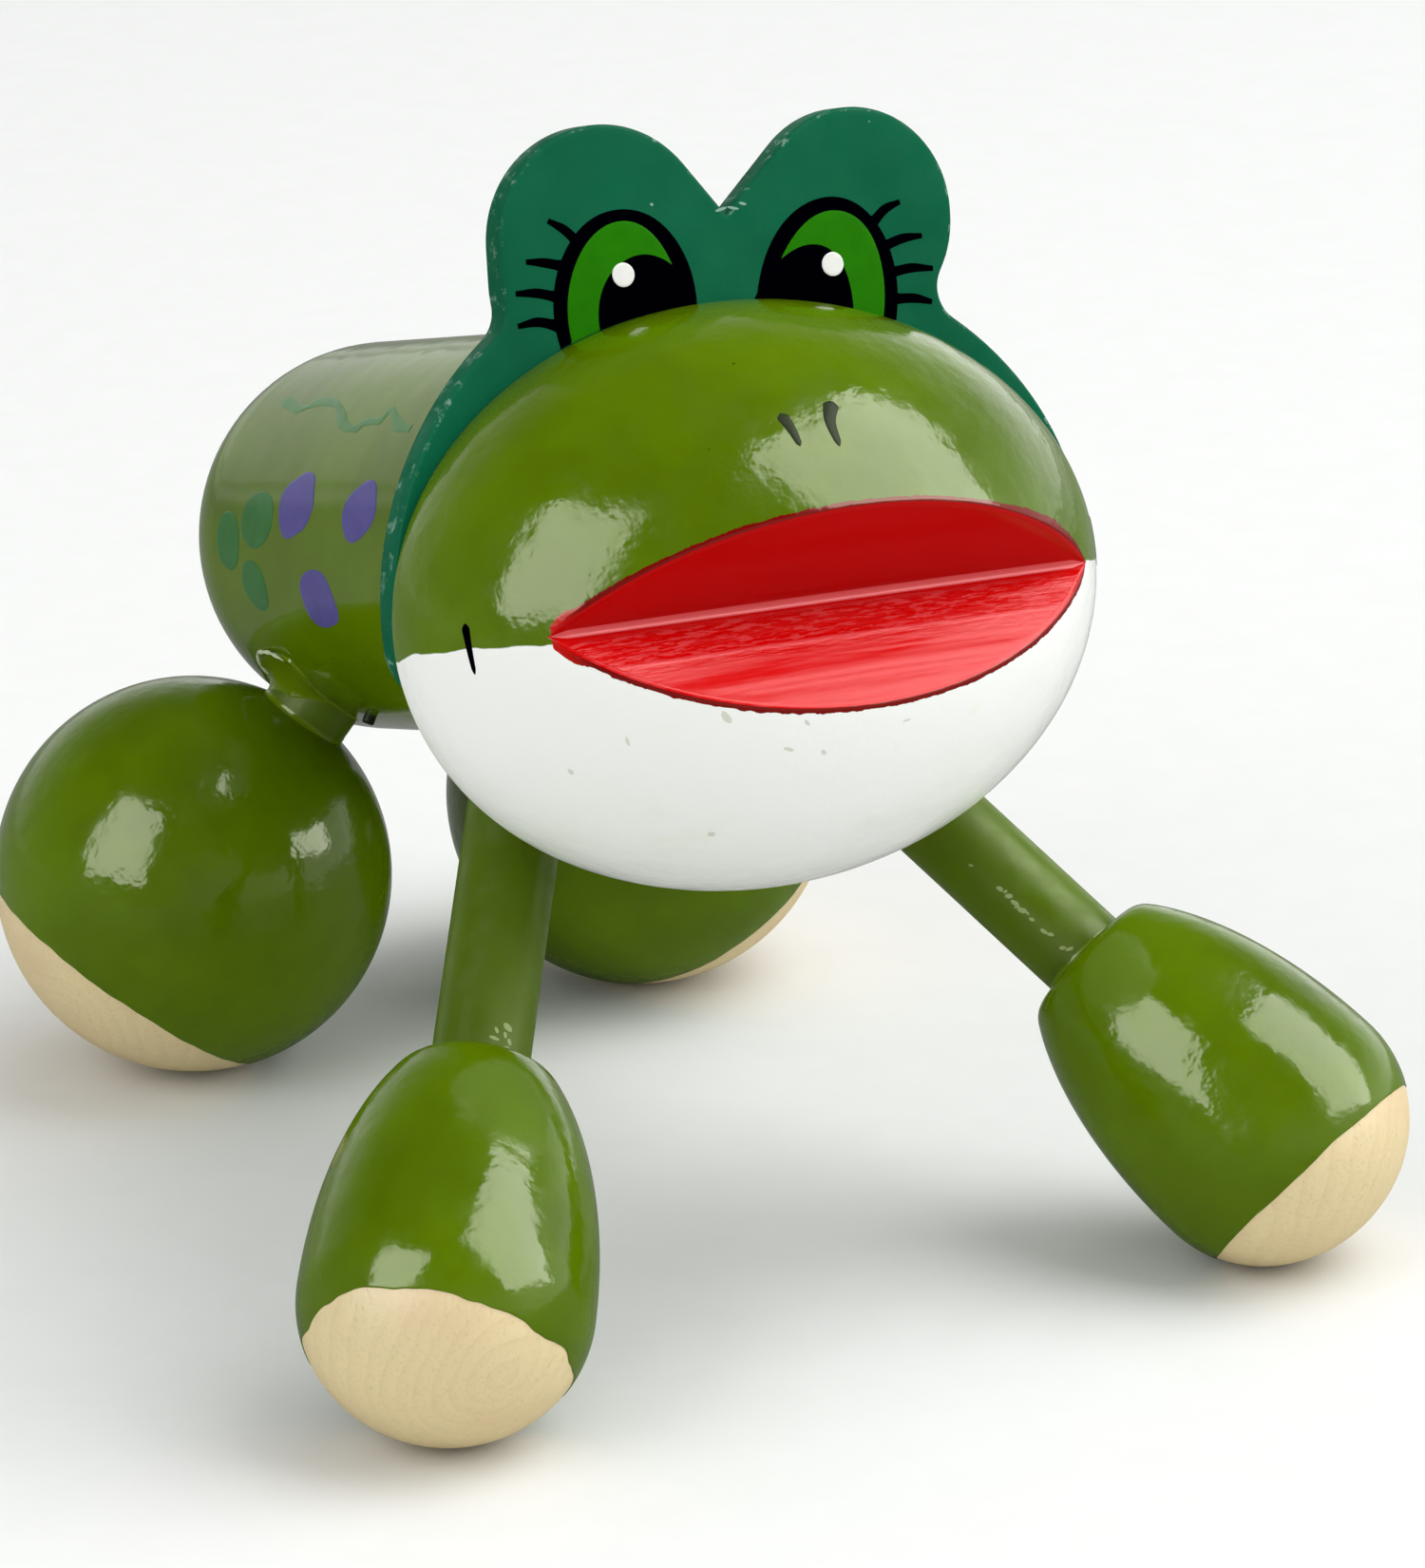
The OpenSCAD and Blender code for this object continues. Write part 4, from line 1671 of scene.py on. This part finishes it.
@dataclass
class Eye:
    """One painted eye: black oval, green iris, black pupil, white glint and lashes."""

    name: str
    oval: Oval
    iris: Oval
    pupil: Oval
    glint: Oval
    lashes: tuple[tuple[tuple[float, float], ...], ...]
    lash_root: float = 0.6
    lash_width: float = 1.25
    lash_taper: float = 0.68
    lash_tip: float = 0.1
    lash_film: float = 0.07
    head_half: tuple[float, float] = (29.9, 23.64)
    BLACK, GREEN, WHITE = 0, 1, 2

    def above_head(self, p: Array) -> Array:
        """Moves a point that the head covers to the head's edge.

        Args:
            p: The point on the board.

        Returns:
            The same point, or the nearest one outward that is seen.
        """
        x, y = p[0], p[1] + STANCE.head_drop
        inside = math.hypot(x / self.head_half[0], y / self.head_half[1])
        if inside >= 1 or inside == 0:
            return p
        return np.array([x / inside, y / inside - STANCE.head_drop, p[2]])

    def build(self, finishes: Finishes) -> None:
        """Builds and dresses the eye.

        Args:
            finishes: The frog's materials.
        """
        piece, board = Piece(self.name), Plane(STANCE.plate_t)
        layers = ((self.oval, 0.05, self.BLACK), (self.iris, 0.08, self.GREEN),
                  (self.pupil, 0.11, self.BLACK), (self.glint, 0.16, self.WHITE))
        for k, (oval, film, slot) in enumerate(layers):
            oval.blob(film, k + len(self.name)).add_to(piece, board, self.above_head, slot)
        for lash in self.lashes:
            spots = np.array([(x, y - STANCE.head_drop, 0.0) for x, y in lash])
            inside = spots[0] - self.lash_root * unit(spots[1] - spots[0])
            path = smooth_path([inside, *spots], 8)
            share = np.linspace(0, 1, len(path))
            uneven = 0.92 + 0.08 * np.sin(share * 11)
            widths = self.lash_width * (1 - self.lash_taper * share) * uneven + self.lash_tip
            Stroke(path, widths, self.lash_film).add_to(piece, board, self.BLACK)
        obj = piece.build(STANCE.face_place(), (finishes.black, finishes.iris, finishes.glint))
        seat_piece(obj, Slot.TEAL)


Line = tuple[tuple[float, float, float], ...]


@dataclass
class HeadMarks:
    """Nostrils and the strokes at the mouth's ends, each line with its first and last width."""

    nostrils: tuple[Line, Line] = (((-3.3, 14.9, 18.3), (-3.0, 13.5, 19.3), (-2.9, 12.3, 20.2)),
                                   ((1.3, 15.2, 18.2), (0.4, 13.8, 19.4), (0.3, 11.8, 20.6)))
    nostril_widths: tuple[tuple[float, float], ...] = ((1.1, 0.45), (1.4, 0.5))
    end_stroke: Line = ((-28.1, 2.1, 8.1), (-28.1, 0.2, 8.3), (-28.0, -1.9, 8.4))
    end_widths: tuple[float, float] = (0.85, 0.4)
    film: float = 0.07
    BLACK, GREY = 0, 1

    def build(self, finishes: Finishes) -> None:
        """Builds and dresses the marks.

        Args:
            finishes: The frog's materials.
        """
        piece = Piece("head_marks")
        other_end = tuple((-x, y, z) for x, y, z in self.end_stroke)
        lines = [(line, widths, self.GREY) for line, widths in zip(self.nostrils, self.nostril_widths)]
        lines += [(line, self.end_widths, self.BLACK) for line in (self.end_stroke, other_end)]
        for line, (first, last), slot in lines:
            path = smooth_path(line, 10)
            share = np.linspace(0, 1, len(path))
            round_ends = np.clip(np.minimum(share, 1 - share) * 9 + 0.25, 0, 1)
            widths = (first + (last - first) * share) * round_ends
            Stroke(path, widths, self.film).add_to(piece, HEAD_EGG, slot)
        seat_piece(piece.build(STANCE.head_place(), (finishes.black, finishes.nostril)), Slot.HEAD)


SpotRow = tuple[float, float, float, float, float]


@dataclass
class BodyMarks:
    """Spots and the wavy line on the body, placed by degrees from the top and millimetres from the front.

    Each spot has its place, its half sizes round and along the body, and its turn in radians.
    """

    purple: tuple[SpotRow, ...] = ((72.9, 45.4, 2.6, 3.8, -0.3), (75.1, 31.3, 2.3, 3.6, -0.35),
                                   (100.3, 42.4, 2.6, 3.5, -0.12))
    green: tuple[SpotRow, ...] = ((82.7, 60.7, 2.6, 2.6, 0.2), (76.8, 54.1, 2.5, 3.5, -0.1),
                                  (96.2, 55.9, 2.3, 2.5, 0.2))
    wave: tuple[tuple[float, float], ...] = (
        (38, 59), (42, 53.5), (39.6, 50.5), (41, 45.5), (48.3, 41), (50, 38), (48, 36.3), (47.5, 33.4),
        (44, 32.4), (49.8, 28.5), (50.9, 25.6))
    film: float = 0.035
    wobble: float = 0.035
    squareness: tuple[float, float] = (2.7, 2.2)
    wave_width: float = 0.95
    PURPLE, GREEN, WAVE = 0, 1, 2

    def at(self, degrees: float, back: float, side: Side) -> Array:
        """A place on the body, in the frame of its front."""
        a, r = math.radians(degrees), STANCE.body_d / 2
        return np.array([side.value * r * math.sin(a), r * math.cos(a), -back])

    def build(self, finishes: Finishes) -> None:
        """Builds and dresses the marks on both sides.

        Args:
            finishes: The frog's materials.
        """
        skin = Rod(STANCE.body_d / 2)
        back_way = np.array([0.0, 0.0, -1.0])
        for side in Side:
            piece = Piece(f"body_marks_{side.word}")
            for slot, spots in ((self.PURPLE, self.purple), (self.GREEN, self.green)):
                for k, (degrees, back, around, along, turn) in enumerate(spots):
                    a, c, s = math.radians(degrees), math.cos(turn), math.sin(turn)
                    round_way = np.array([side.value * math.cos(a), -math.sin(a), 0.0])
                    half_u = around * (round_way * c + back_way * s)
                    half_v = along * (back_way * c - round_way * s)
                    blob = Blob(self.at(degrees, back, side), half_u, half_v, self.film, 5 * slot + k,
                                self.wobble, self.squareness[slot])
                    blob.add_to(piece, skin, slot=slot, count=56)
            path = smooth_path([self.at(degrees, back, side) for degrees, back in self.wave], 8)
            share = np.linspace(0, 1, len(path))
            widths = self.wave_width + 0.22 * np.sin(share * 37) + 0.12 * np.sin(share * 71 + 1)
            Stroke(path, widths, self.film).add_to(piece, skin, self.WAVE)
            materials = (finishes.purple, finishes.spot_green, finishes.wave_green)
            seat_piece(piece.build(STANCE.face_place(), materials), Slot.GREEN)


@dataclass
class Flecks:
    """Small chips, scuffs, specks or drops on one surface.

    Each spot has its place, its half length and half width, and its turn in degrees.
    """

    name: str
    surface: Surface
    matrix: Matrix
    slot: Slot
    spots: tuple[tuple[float, ...], ...]
    film: float = 0.03
    wobble: float = 0.12
    count: int = 28

    def build(self, material: bpy.types.Material) -> None:
        """Builds and dresses the flecks.

        Args:
            material: Their paint.
        """
        piece = Piece(self.name)
        for k, (x, y, z, half_len, half_wide, turn) in enumerate(self.spots):
            middle, out = self.surface.seat(np.array([x, y, z]))
            above = np.array([0.0, 0, 1]) if abs(out[2]) < 0.9 else np.array([0.0, 1, 0])
            level = unit(np.cross(out, above))
            rise, a = np.cross(level, out), math.radians(turn)
            u, v = level * math.cos(a) + rise * math.sin(a), rise * math.cos(a) - level * math.sin(a)
            blob = Blob(middle, u * half_len, v * half_wide, self.film, 3 * k + 1, self.wobble)
            blob.add_to(piece, self.surface, count=self.count)
        seat_piece(piece.build(self.matrix, (material,)), self.slot)


@dataclass
class TornEdge:
    """A thin rolled edge of torn paint, as a line of points in a leg's frame with its thickness."""

    name: str
    side: Side
    front: bool
    path: Line
    thick: float = 0.3
    count: int = 14
    askew: tuple[float, float, float] = (0.3, 0.5, 0.8)

    def build(self, finishes: Finishes) -> None:
        """Builds and dresses the edge.

        Args:
            finishes: The frog's materials.
        """
        line = smooth_path(self.path, 6)
        share = np.linspace(0, 1, len(line))
        taper = 0.25 + 0.75 * np.sin(share * math.pi) ** 0.5
        radius = self.thick / 2 * taper * (1 + 0.25 * np.sin(share * 31))
        angle = np.arange(self.count) * TURN / self.count
        rows = []
        for p, way, r in zip(line, np.gradient(line, axis=0), radius):
            side = unit(np.cross(way, np.array(self.askew)))
            rise = unit(np.cross(side, way))
            rows.append([p + r * (math.cos(a) * side + math.sin(a) * rise) for a in angle])
        piece = Piece(self.name)
        piece.add_grid(rows, first_pole=line[0], last_pole=line[-1])
        # The rolled edge is dressed in near-white paint, a painted highlight
        seat_piece(piece.build(STANCE.leg_place(self.side, self.front), (finishes.torn,)), Slot.GREEN)


class LampShape(Enum):
    """Outline of a lamp, as Blender names it."""

    ROUND = "ELLIPSE"
    SQUARE = "RECTANGLE"


class LampUse(Enum):
    """What a lamp lights: matt surfaces, or the glare in gloss."""

    SOFT = "soft"
    GLARE = "glare"


@dataclass(frozen=True)
class Softbox:
    """A soft lamp by its direction, half spread and distance from the frog, in degrees and metres.

    Its brightness is given beside white paper.
    """

    name: str
    use: LampUse
    shape: LampShape
    azimuth: float
    elevation: float
    half_wide: float
    half_high: float
    distance: float
    brightness: float
    roll: float = 0.0
    aim: tuple[float, float, float] = (0.0, -0.01, 0.05)

    def build(self) -> None:
        """Adds the lamp."""
        a, e = math.radians(self.azimuth), math.radians(self.elevation)
        way = Vector((math.sin(a) * math.cos(e), -math.cos(a) * math.cos(e), math.sin(e)))
        wide, high = (2 * self.distance * math.tan(math.radians(h)) for h in (self.half_wide, self.half_high))
        light = bpy.data.lights.new(self.name, "AREA")
        light.shape = self.shape.value
        light.size, light.size_y = wide, high
        area = wide * high * (math.pi / 4 if self.shape is LampShape.ROUND else 1.0)
        light.energy = self.brightness * math.pi * area
        obj = bpy.data.objects.new(self.name, light)
        obj.location = Vector(self.aim) + way * self.distance
        turn = way.to_track_quat("Z", "Y") @ Quaternion((0.0, 0.0, 1.0), math.radians(self.roll))
        obj.rotation_euler = turn.to_euler()
        obj.visible_glossy = self.use is LampUse.GLARE
        obj.visible_diffuse = self.use is LampUse.SOFT
        bpy.context.scene.collection.objects.link(obj)


@dataclass
class Stage:
    """White floor, soft lamps, pale surroundings and the camera of the photo, in metres and degrees."""

    floor_half: float = 6.0
    floor_colour: Colour = (0.895, 0.90, 0.895)
    floor_shade: float = 0.985
    # Near the frog the paper is darker in reflections only: painted shade; reach in metres and tone there
    floor_shade_reach: tuple[float, float] = (0.5, 1.1)
    floor_shade_in_gloss: float = 0.3
    floor_roughness: float = 0.9
    floor_shine: float = 0.1
    horizon: tuple[float, float, float] = (0.25, 0.85, 0.95)
    soft_level: float = 0.53
    camera_at: tuple[float, float, float] = (-0.2641, -0.5492, 0.2474)
    azimuth: float = 26.56
    elevation: float = 19.34
    roll: float = -1.11
    lens: float = 192.0
    sensor: float = 36.0
    lamps: tuple[Softbox, ...] = (
        Softbox("soft_left", LampUse.SOFT, LampShape.ROUND, -79, 31, 21, 24, 1.0, 1.75),
        Softbox("soft_right", LampUse.SOFT, LampShape.ROUND, 57, 43, 26.5, 35, 1.6, 2.35),
        Softbox("soft_top", LampUse.SOFT, LampShape.ROUND, 95, 65, 30, 30, 1.8, 1.0),
        Softbox("glare_left", LampUse.GLARE, LampShape.SQUARE, -73, 33, 17.5, 22, 0.97, 10.5),
        Softbox("glare_right", LampUse.GLARE, LampShape.SQUARE, 53, 41.5, 24, 28.5, 1.55, 10.5, -15),
    )

    def floor(self) -> None:
        """Lays the floor with its matt white paper."""
        h = self.floor_half
        mesh = bpy.data.meshes.new("floor")
        mesh.from_pydata([(-h, -h, 0), (h, -h, 0), (h, h, 0), (-h, h, 0)], [], [(0, 1, 2, 3)])
        obj = bpy.data.objects.new("floor", mesh)
        bpy.context.scene.collection.objects.link(obj)
        material, nodes, shader = new_material("floor_paper")
        own = nodes.own()
        fibre = nodes.span(nodes.noise(own, 6.0, 4.0), 0.3, 0.7)
        paper = nodes.mix(fibre, rgba(self.floor_colour, self.floor_shade), rgba(self.floor_colour))
        glossy = nodes.add("ShaderNodeLightPath").outputs["Is Glossy Ray"]
        # Painted shade seen in reflections: glossy rays find the paper darker near the frog
        in_gloss = nodes.times(nodes.span(nodes.length(own), *self.floor_shade_reach, 1.0, 0.0), glossy)
        tone = nodes.mix(in_gloss, paper, rgba(self.floor_colour, self.floor_shade_in_gloss))
        nodes.feed(shader, {"Base Color": tone, "Roughness": self.floor_roughness,
                            "Specular IOR Level": self.floor_shine})
        mesh.materials.append(material)

    def surroundings(self) -> None:
        """Sets a pale room: bright at the horizon in gloss, dim overhead, even for soft light."""
        world = bpy.data.worlds.new("pale_room")
        bpy.context.scene.world = world
        world.use_nodes = True
        nodes = Nodes(world.node_tree)
        shader = next(n for n in world.node_tree.nodes if n.type == "BACKGROUND")
        way = nodes.add("ShaderNodeTexCoord").outputs["Generated"]
        x, _, z = nodes.add("ShaderNodeSeparateXYZ", {0: way}).outputs
        left, middle, more = self.horizon
        across = nodes.plus(nodes.span(x, -0.7, -0.1, left, middle), nodes.span(x, 0.25, 0.75, 0.0, more))
        in_gloss = nodes.times(nodes.span(z, 0.05, 0.75, 1.0, 0.05), across)
        rays = nodes.add("ShaderNodeLightPath").outputs
        soft = nodes.times(nodes.minus(1.0, rays["Is Glossy Ray"]), self.soft_level)
        seen = nodes.plus(nodes.times(in_gloss, rays["Is Glossy Ray"]), soft)
        nodes.feed(shader, {"Color": (1.0, 1.0, 1.0, 1.0),
                            "Strength": nodes.math("MAXIMUM", seen, rays["Is Camera Ray"])})

    def camera(self) -> None:
        """Sets the camera at the photo's place and turn."""
        data = bpy.data.cameras.new("photo_camera")
        data.sensor_fit, data.sensor_width, data.lens = "HORIZONTAL", self.sensor, self.lens
        data.clip_start, data.clip_end = 0.01, 50.0
        obj = bpy.data.objects.new("photo_camera", data)
        a, e, r = (math.radians(v) for v in (self.azimuth, self.elevation, self.roll))
        ahead = np.array([math.sin(a) * math.cos(e), math.cos(a) * math.cos(e), -math.sin(e)])
        level = np.array([math.cos(a), -math.sin(a), 0.0])
        above = np.cross(level, ahead)
        right = level * math.cos(r) + above * math.sin(r)
        up = above * math.cos(r) - level * math.sin(r)
        obj.matrix_world = place(np.array(self.camera_at) / MM, right, up, -ahead)
        bpy.context.scene.collection.objects.link(obj)
        bpy.context.scene.camera = obj

    def build(self) -> None:
        """Builds the floor, lamps, surroundings and camera."""
        self.floor()
        for lamp in self.lamps:
            lamp.build()
        self.surroundings()
        self.camera()
        bpy.context.scene.view_settings.view_transform = "Standard"
        LOG.info("stage with %d lamps", len(self.lamps))


# The frog


EYES = (
    Eye("painted_eye_right", Oval(-5.5, 24.1, 6.4, 8.1, -4.5), Oval(-5.6, 24.1, 5.1, 7.2, -7.2),
        Oval(-3.7, 23.2, 4.4, 5.2, -0.9), Oval(-5.3, 26.9, 1.0, 1.0, 0),
        (((-9.0, 30.2), (-9.9, 31.2), (-11.2, 32.1)), ((-10.7, 28.4), (-12.0, 28.8), (-13.6, 29.1)),
         ((-11.5, 26.0), (-13.1, 26.5), (-14.9, 26.7)), ((-12.0, 23.8), (-13.4, 24.2), (-15.1, 24.1)))),
    Eye("painted_eye_left", Oval(12.5, 21.8, 6.4, 9.1, -15.8), Oval(12.3, 21.3, 5.3, 8.6, -17.6),
        Oval(9.6, 19.8, 4.8, 7.8, -23.6), Oval(13.5, 25.2, 1.0, 1.0, 0),
        (((17.9, 28.2), (19.0, 29.0), (20.4, 29.4)), ((18.5, 26.0), (20.2, 26.4), (22.0, 26.4)),
         ((18.9, 23.8), (20.7, 23.9), (22.6, 23.6)), ((18.9, 21.6), (20.6, 21.4), (22.1, 20.9)))),
)

ENDS = (
    DippedEnd("dipped_foot_right", "front_foot_right", Side.RIGHT, True, 4.65, 0.3, 0.6, waver=0.28,
              ragged=0.1, seed=4),
    DippedEnd("dipped_foot_left", "front_foot_left", Side.LEFT, True, 4.9, 0.9, 1.2, waver=0.12, seed=9),
    DippedEnd("dipped_ball_right", "rear_ball_right", Side.RIGHT, False, 10.3, 0.3, 0.0, waver=0.12, seed=2),
    DippedEnd("dipped_ball_left", "rear_ball_left", Side.LEFT, False, 9.6, 0.4, 1.0, waver=0.12, seed=6),
)

# The skirt of paint that is torn at the right rear leg: degrees round the leg, width and rise
TORN_COLLARS = {
    (Side.RIGHT, False): ((-100, 0.2, 0.25), (-44, 0.1, 0.2), (-24, 0.15, 0.2), (3, 0.6, 0.1), (26, 1.7, 0.7),
                          (38, 3.2, 1.1), (50, 3.8, 1.45), (67, 3.1, 1.3), (85, 2.4, 1.5), (112, 1.6, 1.5),
                          (150, 0.5, 0.5), (200, 0.3, 0.3)),
}
TORN_LIFT = 0.25
TORN_EDGE = TornEdge("torn_film_edge", Side.RIGHT, False,
                     ((-1.5, 4.5, -18.5), (-1.8, 5.5, -18.8), (-1.5, 6.4, -19.6), (0.6, 6.9, -20.2),
                      (2.2, 7.0, -20.7), (3.6, 6.9, -21.0), (4.8, 6.3, -21.2)), 0.36)

# Scuffs on the front dowels: degrees round the dowel, height along it, half sizes and turn
DOWEL_SCUFFS = {
    Side.LEFT: ((162, -32.8, 0.2, 0.1, 60), (159, -29.7, 0.3, 0.2, 70), (157, -29.2, 0.2, 0.12, 20),
                (158, -28.7, 0.35, 0.2, 50), (159, -27.9, 0.4, 0.2, 80), (161, -27.6, 0.25, 0.12, 40),
                (160, -27.1, 0.4, 0.22, 60), (158, -26.6, 0.2, 0.1, 90), (160, -26.0, 0.25, 0.14, 70),
                (161, -24.6, 0.35, 0.16, 80), (158, -24.0, 0.3, 0.15, 60), (160, -22.5, 0.3, 0.15, 50),
                (155, -22.0, 0.35, 0.15, 30)),
    Side.RIGHT: ((52, -24.0, 0.45, 0.3, 30), (65, -23.4, 0.3, 0.15, 60), (54, -23.2, 0.3, 0.15, 80),
                 (66, -22.6, 0.45, 0.16, 10), (47, -22.7, 0.3, 0.2, 70), (48, -22.0, 0.4, 0.25, 20),
                 (33, -21.7, 0.4, 0.18, 20)),
}


def small_marks(finishes: Finishes) -> None:
    """Adds the small signs of making and wear.

    Args:
        finishes: The frog's materials.
    """
    r = STANCE.dowel_r
    for side, scuffs in DOWEL_SCUFFS.items():
        spots = tuple((r * math.cos(math.radians(degrees)), r * math.sin(math.radians(degrees)), *rest)
                      for degrees, *rest in scuffs)
        flecks = Flecks(f"dowel_scuffs_{side.word}", Rod(r), STANCE.leg_place(side, True), Slot.GREEN, spots)
        flecks.build(finishes.scuff)
    ball = Egg(STANCE.ball_d / 2, STANCE.ball_d / 2)
    Flecks("ball_pit", ball, STANCE.leg_place(Side.RIGHT, False), Slot.DIPPED,
           ((17.0, 2.8, -3.0, 0.38, 0.3, 40),)).build(finishes.pit)
    Flecks("board_chips", Plane(STANCE.plate_t), STANCE.face_place(), Slot.TEAL, (
        (4.2, 25.75, 0, 0.55, 0.13, 170), (5.3, 25.7, 0, 0.5, 0.12, 15), (6.2, 25.95, 0, 0.35, 0.12, 20),
        (-1.9, 26.97, 0, 0.16, 0.12, 40))).build(finishes.chip)
    Flecks("chin_specks", HEAD_EGG, STANCE.head_place(), Slot.HEAD, (
        (-22.5, -10.5, 11.7, 0.3, 0.2, 0), (-4.6, -11.7, 20.3, 0.25, 0.2, 30),
        (-7.5, -11.0, 20.2, 0.45, 0.16, 0), (-12.0, -17.2, 13.4, 0.32, 0.28, 0),
        (-19.3, -8.5, 16.1, 0.4, 0.15, 20), (-6.2, -9.1, 21.4, 0.3, 0.15, 60),
        (2.5, -10.3, 21.3, 0.35, 0.12, 0), (-12.5, -7.6, 20.2, 0.6, 0.3, 10)),
        film=0.02).build(finishes.smudge)
    Flecks("body_drip", Rod(STANCE.body_d / 2), STANCE.face_place(), Slot.GREEN,
           ((-9.2, -14.6, -53.2, 0.55, 0.5, 0),), film=0.75).build(finishes.pit)


def carried_over(finishes: Finishes) -> None:
    """Dresses the CAD nodes that are shown as they are.

    Args:
        finishes: The frog's materials.
    """
    for name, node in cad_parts.items():
        node.data.materials.clear()
        node.data.materials.append(finishes.wood if name == "neck_dowel" else
                                   finishes.dowel if "_leg_" in name else finishes.body)
        LOG.info("%s: CAD node with %s", name, node.data.materials[0].name)


def collars(finishes: Finishes) -> None:
    """Adds the paint collars at both ends of each leg.

    Args:
        finishes: The frog's materials.
    """
    for side in Side:
        for front in (True, False):
            which = f"{'front' if front else 'rear'}_{side.word}"
            reaches = TORN_COLLARS.get((side, front), ())
            PaintCollar(f"body_collar_{which}", side, front, True, seed=3 + side.value, reaches=reaches,
                        lift=TORN_LIFT if reaches else PaintCollar.lift).build(finishes)
            PaintCollar(f"end_collar_{which}", side, front, False, seed=7 + side.value).build(finishes)


def main() -> None:
    """Builds the frog and its stage."""
    logging.basicConfig(level=logging.INFO, format="%(name)s: %(message)s")
    finishes = Finishes()
    carried_over(finishes)
    Head().build(finishes)
    EyeBoard().build(finishes)
    for end in ENDS:
        end.build(finishes)
    collars(finishes)
    for eye in EYES:
        eye.build(finishes)
    HeadMarks().build(finishes)
    BodyMarks().build(finishes)
    TORN_EDGE.build(finishes)
    small_marks(finishes)
    Stage().build()


if __name__ == "__main__":
    main()
